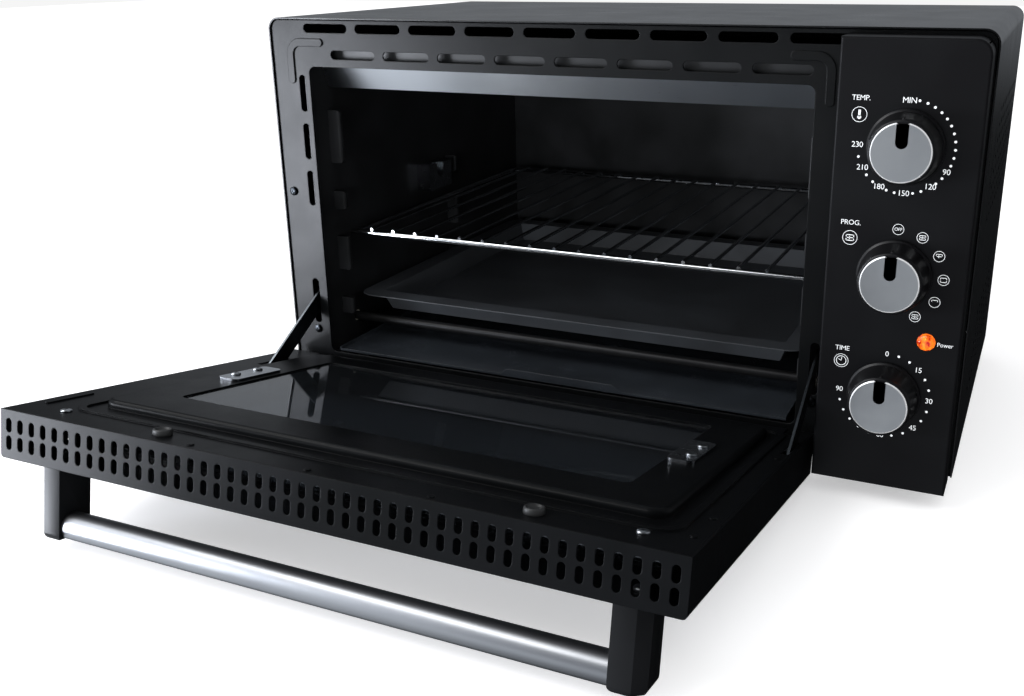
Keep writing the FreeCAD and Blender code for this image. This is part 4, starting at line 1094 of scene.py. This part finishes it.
class Dressing:
    """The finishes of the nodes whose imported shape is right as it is."""

    plan: tuple[tuple[Finish, tuple[str, ...]], ...] = (
        (POWDER_COAT, ("outer_shell", "base_plate", "rear_cover")),
        (ARM_STEEL, ("stay_arm_left", "stay_arm_right")),
        (FRAME_COAT, ("front_frame",)),
        (DOOR_COAT, ("door_outer_panel", "door_inner_panel", "door_end_strip")),
        (LINER_ENAMEL, ("cavity_left_wall", "cavity_right_wall", "cavity_top_panel",
                        "cavity_floor_panel", "cavity_back_panel")),
        (BRIGHT_STRIP, ("top_trim_strip",)),
        (ZINC, ("control_bracket", "hinge_ear_left", "hinge_ear_right", "hinge_pins", "stay_pins",
                "hinge_channels", "temperature_shaft", "program_shaft", "timer_shaft",
                "spit_motor", "thermostat", "spit_socket")),
        (CLIP_STEEL, ("glass_clips", "spit_support")),
        (HEATER_TUBE, ("upper_heaters", "lower_heaters")),
        (CHROME_WIRE, ("wire_rack",)),
        (HANDLE_TUBE, ("handle_bar",)),
        (FASCIA_ABS, ("control_panel", "mains_gland")),
        (SWITCH_BODY, ("program_switch", "timer_movement", "terminal_block", "lamp_holder")),
        (STEATITE, ("heater_bushes",)),
        (SMOKED_GLASS, ("door_inner_glass", "door_outer_glass")),
        (TRAY_ENAMEL, ("baking_tray",)),
        (CRUMB_SHEET, ("crumb_tray",)),
    )

    def __init__(self, shop: Workshop) -> None:
        """Keep the workshop."""
        self.shop = shop

    def build(self) -> None:
        """Dress every node that stays."""
        for finish, names in self.plan:
            self.shop.dress(finish, *names)
            log.info("%s: %d nodes", finish.name, len(names))


# ---------------------------------------------------------------- studio

@dataclass
class SoftBox:
    """A rectangular light: where it stands, what it looks at, its size and its power."""

    name: str
    place: tuple[float, float, float]
    target: tuple[float, float, float]
    wide: float
    high: float
    power: float
    mirrored: bool = True
    colour: str = "#ffffff"

    def build(self) -> None:
        """Add the light."""
        data = bpy.data.lights.new(self.name, "AREA")
        data.shape = "RECTANGLE"
        data.size = self.wide
        data.size_y = self.high
        data.energy = self.power
        data.color = linear(self.colour)[:3]
        item = bpy.data.objects.new(self.name, data)
        bpy.context.scene.collection.objects.link(item)
        item.location = self.place
        item.visible_camera = False
        item.visible_glossy = self.mirrored
        item.rotation_euler = (Vector(self.target) - Vector(self.place)).to_track_quat(
            "-Z", "Y").to_euler()


@dataclass
class Studio:
    """A pale floor, soft light, and the camera.

    The surroundings look brighter to matt surfaces than to shiny ones, as in a tent with black
    cards: what the shiny black sheet mirrors is dark to the right and pale to the left.
    """

    floor: str = "#f6f6f7"
    azimuth: float = 24.34
    down: float = 18.57
    roll: float = -0.593
    lens: float = 38.17
    shift: tuple[float, float] = (-0.0502, -0.0263)
    stand: tuple[float, float, float] = (0.2820, -0.7000, 0.3277)
    floor_glow: float = 0.4
    fill: float = 1.15
    left_card: float = 1.15
    low_front_card: float = 0.5
    back_card: float = 0.42
    boxes: tuple[SoftBox, ...] = field(default_factory=lambda: (
        SoftBox("key_low_left", (-0.80, -0.66, 0.04), (-0.25, -0.04, 0.04), 0.36, 0.46, 13.5,
                colour="#f0f5ff"),
        SoftBox("into_cavity", (0.05, -1.6, 0.22), (-0.03, 0.1, 0.10), 0.9, 0.26, 17, False),
        SoftBox("edge_top", (-0.8, -0.6, 1.15), (0, -0.05, 0.15), 1.7, 0.45, 11.5),
    ))

    def build(self) -> None:
        """Set the stage."""
        self.ground()
        self.world()
        for light in self.boxes:
            light.build()
        self.camera()

    def ground(self) -> None:
        """Lay the floor."""
        bpy.ops.object.select_all(action="DESELECT")
        bpy.ops.mesh.primitive_plane_add(size=14)
        ground = bpy.context.active_object
        ground.name = "studio_floor"
        paint = bpy.data.materials.new("studio_paper")
        paint.use_nodes = True
        shader = paint.node_tree.nodes["Principled BSDF"]
        shader.inputs["Base Color"].default_value = linear(self.floor)
        shader.inputs["Roughness"].default_value = 0.9
        shader.inputs["Specular IOR Level"].default_value = 0.0
        shader.inputs["Emission Color"].default_value = linear(self.floor)
        shader.inputs["Emission Strength"].default_value = self.floor_glow
        ground.data.materials.append(paint)
        ground.visible_glossy = False

    def world(self) -> None:
        """Surround the stage with even light, and with darker cards for reflections."""
        world = bpy.data.worlds.new("studio")
        bpy.context.scene.world = world
        bpy.context.scene.view_settings.view_transform = "Standard"
        world.cycles.sampling_method = "NONE"
        world.use_nodes = True
        tree = world.node_tree
        tree.nodes.clear()
        where = add_node(tree, "ShaderNodeTexCoord").outputs["Generated"]
        axes = add_node(tree, "ShaderNodeSeparateXYZ", links={0: where}).outputs
        side = self.card(tree, axes["X"], (0.12, -0.62), (0.0, 1.0), "LINEAR")
        side = self.times(tree, side, self.times(tree, side, side))
        side = self.times(tree, side, self.left_card)
        low = self.times(tree, self.card(tree, axes["Z"], (-0.03, -0.2), (0.0, 1.0)),
                         self.card(tree, axes["Y"], (-0.55, -0.95), (0.0, self.low_front_card)))
        front = add_node(tree, "ShaderNodeMath", {"operation": "ADD"}, {0: side, 1: low}).outputs[0]
        back = self.times(tree, self.card(tree, axes["Z"], (-0.14, 0.0), (0.01, self.back_card)),
                          self.card(tree, axes["X"], (-0.64, -0.74), (1.0, 0.3)))
        behind = self.card(tree, axes["Y"], (-0.2, 0.3), (0.0, 1.0))
        cards = add_node(tree, "ShaderNodeMix", {"data_type": "FLOAT"},
                         {"Factor": behind, "A": front, "B": back}).outputs["Result"]
        ray = add_node(tree, "ShaderNodeLightPath")
        mirrored = add_node(tree, "ShaderNodeBackground", {"Color": linear("#e4eaf2")},
                            {"Strength": cards})
        even = add_node(tree, "ShaderNodeBackground", {"Strength": self.fill})
        mix = add_node(tree, "ShaderNodeMixShader", links={
            0: ray.outputs["Is Glossy Ray"], 1: even.outputs[0], 2: mirrored.outputs[0]})
        add_node(tree, "ShaderNodeOutputWorld", links={"Surface": mix.outputs[0]})

    def card(self, tree: bpy.types.NodeTree, value: bpy.types.NodeSocket,
             span: tuple[float, float], level: tuple[float, float],
             blend: str = "SMOOTHSTEP") -> bpy.types.NodeSocket:
        """Fade from one level to another over a span of one direction's value.

        Args:
            tree: The world's nodes.
            value: The direction's X, Y or Z.
            span: Where the fade starts and ends.
            level: The levels there.
            blend: How it fades.

        Returns:
            The level.
        """
        fade = add_node(tree, "ShaderNodeMapRange",
                        {"interpolation_type": blend, "From Min": span[0], "From Max": span[1],
                         "To Min": level[0], "To Max": level[1]}, {"Value": value})
        return fade.outputs[0]

    def times(self, tree: bpy.types.NodeTree, first: bpy.types.NodeSocket,
              second: bpy.types.NodeSocket | float) -> bpy.types.NodeSocket:
        """Multiply a value by another value or by a number."""
        product = add_node(tree, "ShaderNodeMath", {"operation": "MULTIPLY"}, {0: first})
        if isinstance(second, float):
            product.inputs[1].default_value = second
        else:
            tree.links.new(second, product.inputs[1])
        return product.outputs[0]

    def camera(self) -> None:
        """Stand the camera where it sees the oven from the front right, a little above."""
        data = bpy.data.cameras.new("camera")
        data.lens = self.lens
        data.sensor_width = 36
        data.shift_x, data.shift_y = self.shift
        data.clip_start = 0.01
        item = bpy.data.objects.new("camera", data)
        bpy.context.scene.collection.objects.link(item)
        turn = (Matrix.Rotation(math.radians(self.azimuth), 4, "Z")
                @ Matrix.Rotation(math.radians(90 - self.down), 4, "X")
                @ Matrix.Rotation(math.radians(self.roll), 4, "Z"))
        item.matrix_world = Matrix.Translation(self.stand) @ turn
        bpy.context.scene.camera = item


def main() -> None:
    """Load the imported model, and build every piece."""
    logging.basicConfig(level=logging.INFO, format="%(name)s %(message)s")
    shop = Workshop(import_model())
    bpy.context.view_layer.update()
    Studio().build()
    for part in (Dressing(shop), Fastenings(shop), Controls(shop), Mouldings(shop)):
        part.build()


if __name__ == "__main__":
    main()
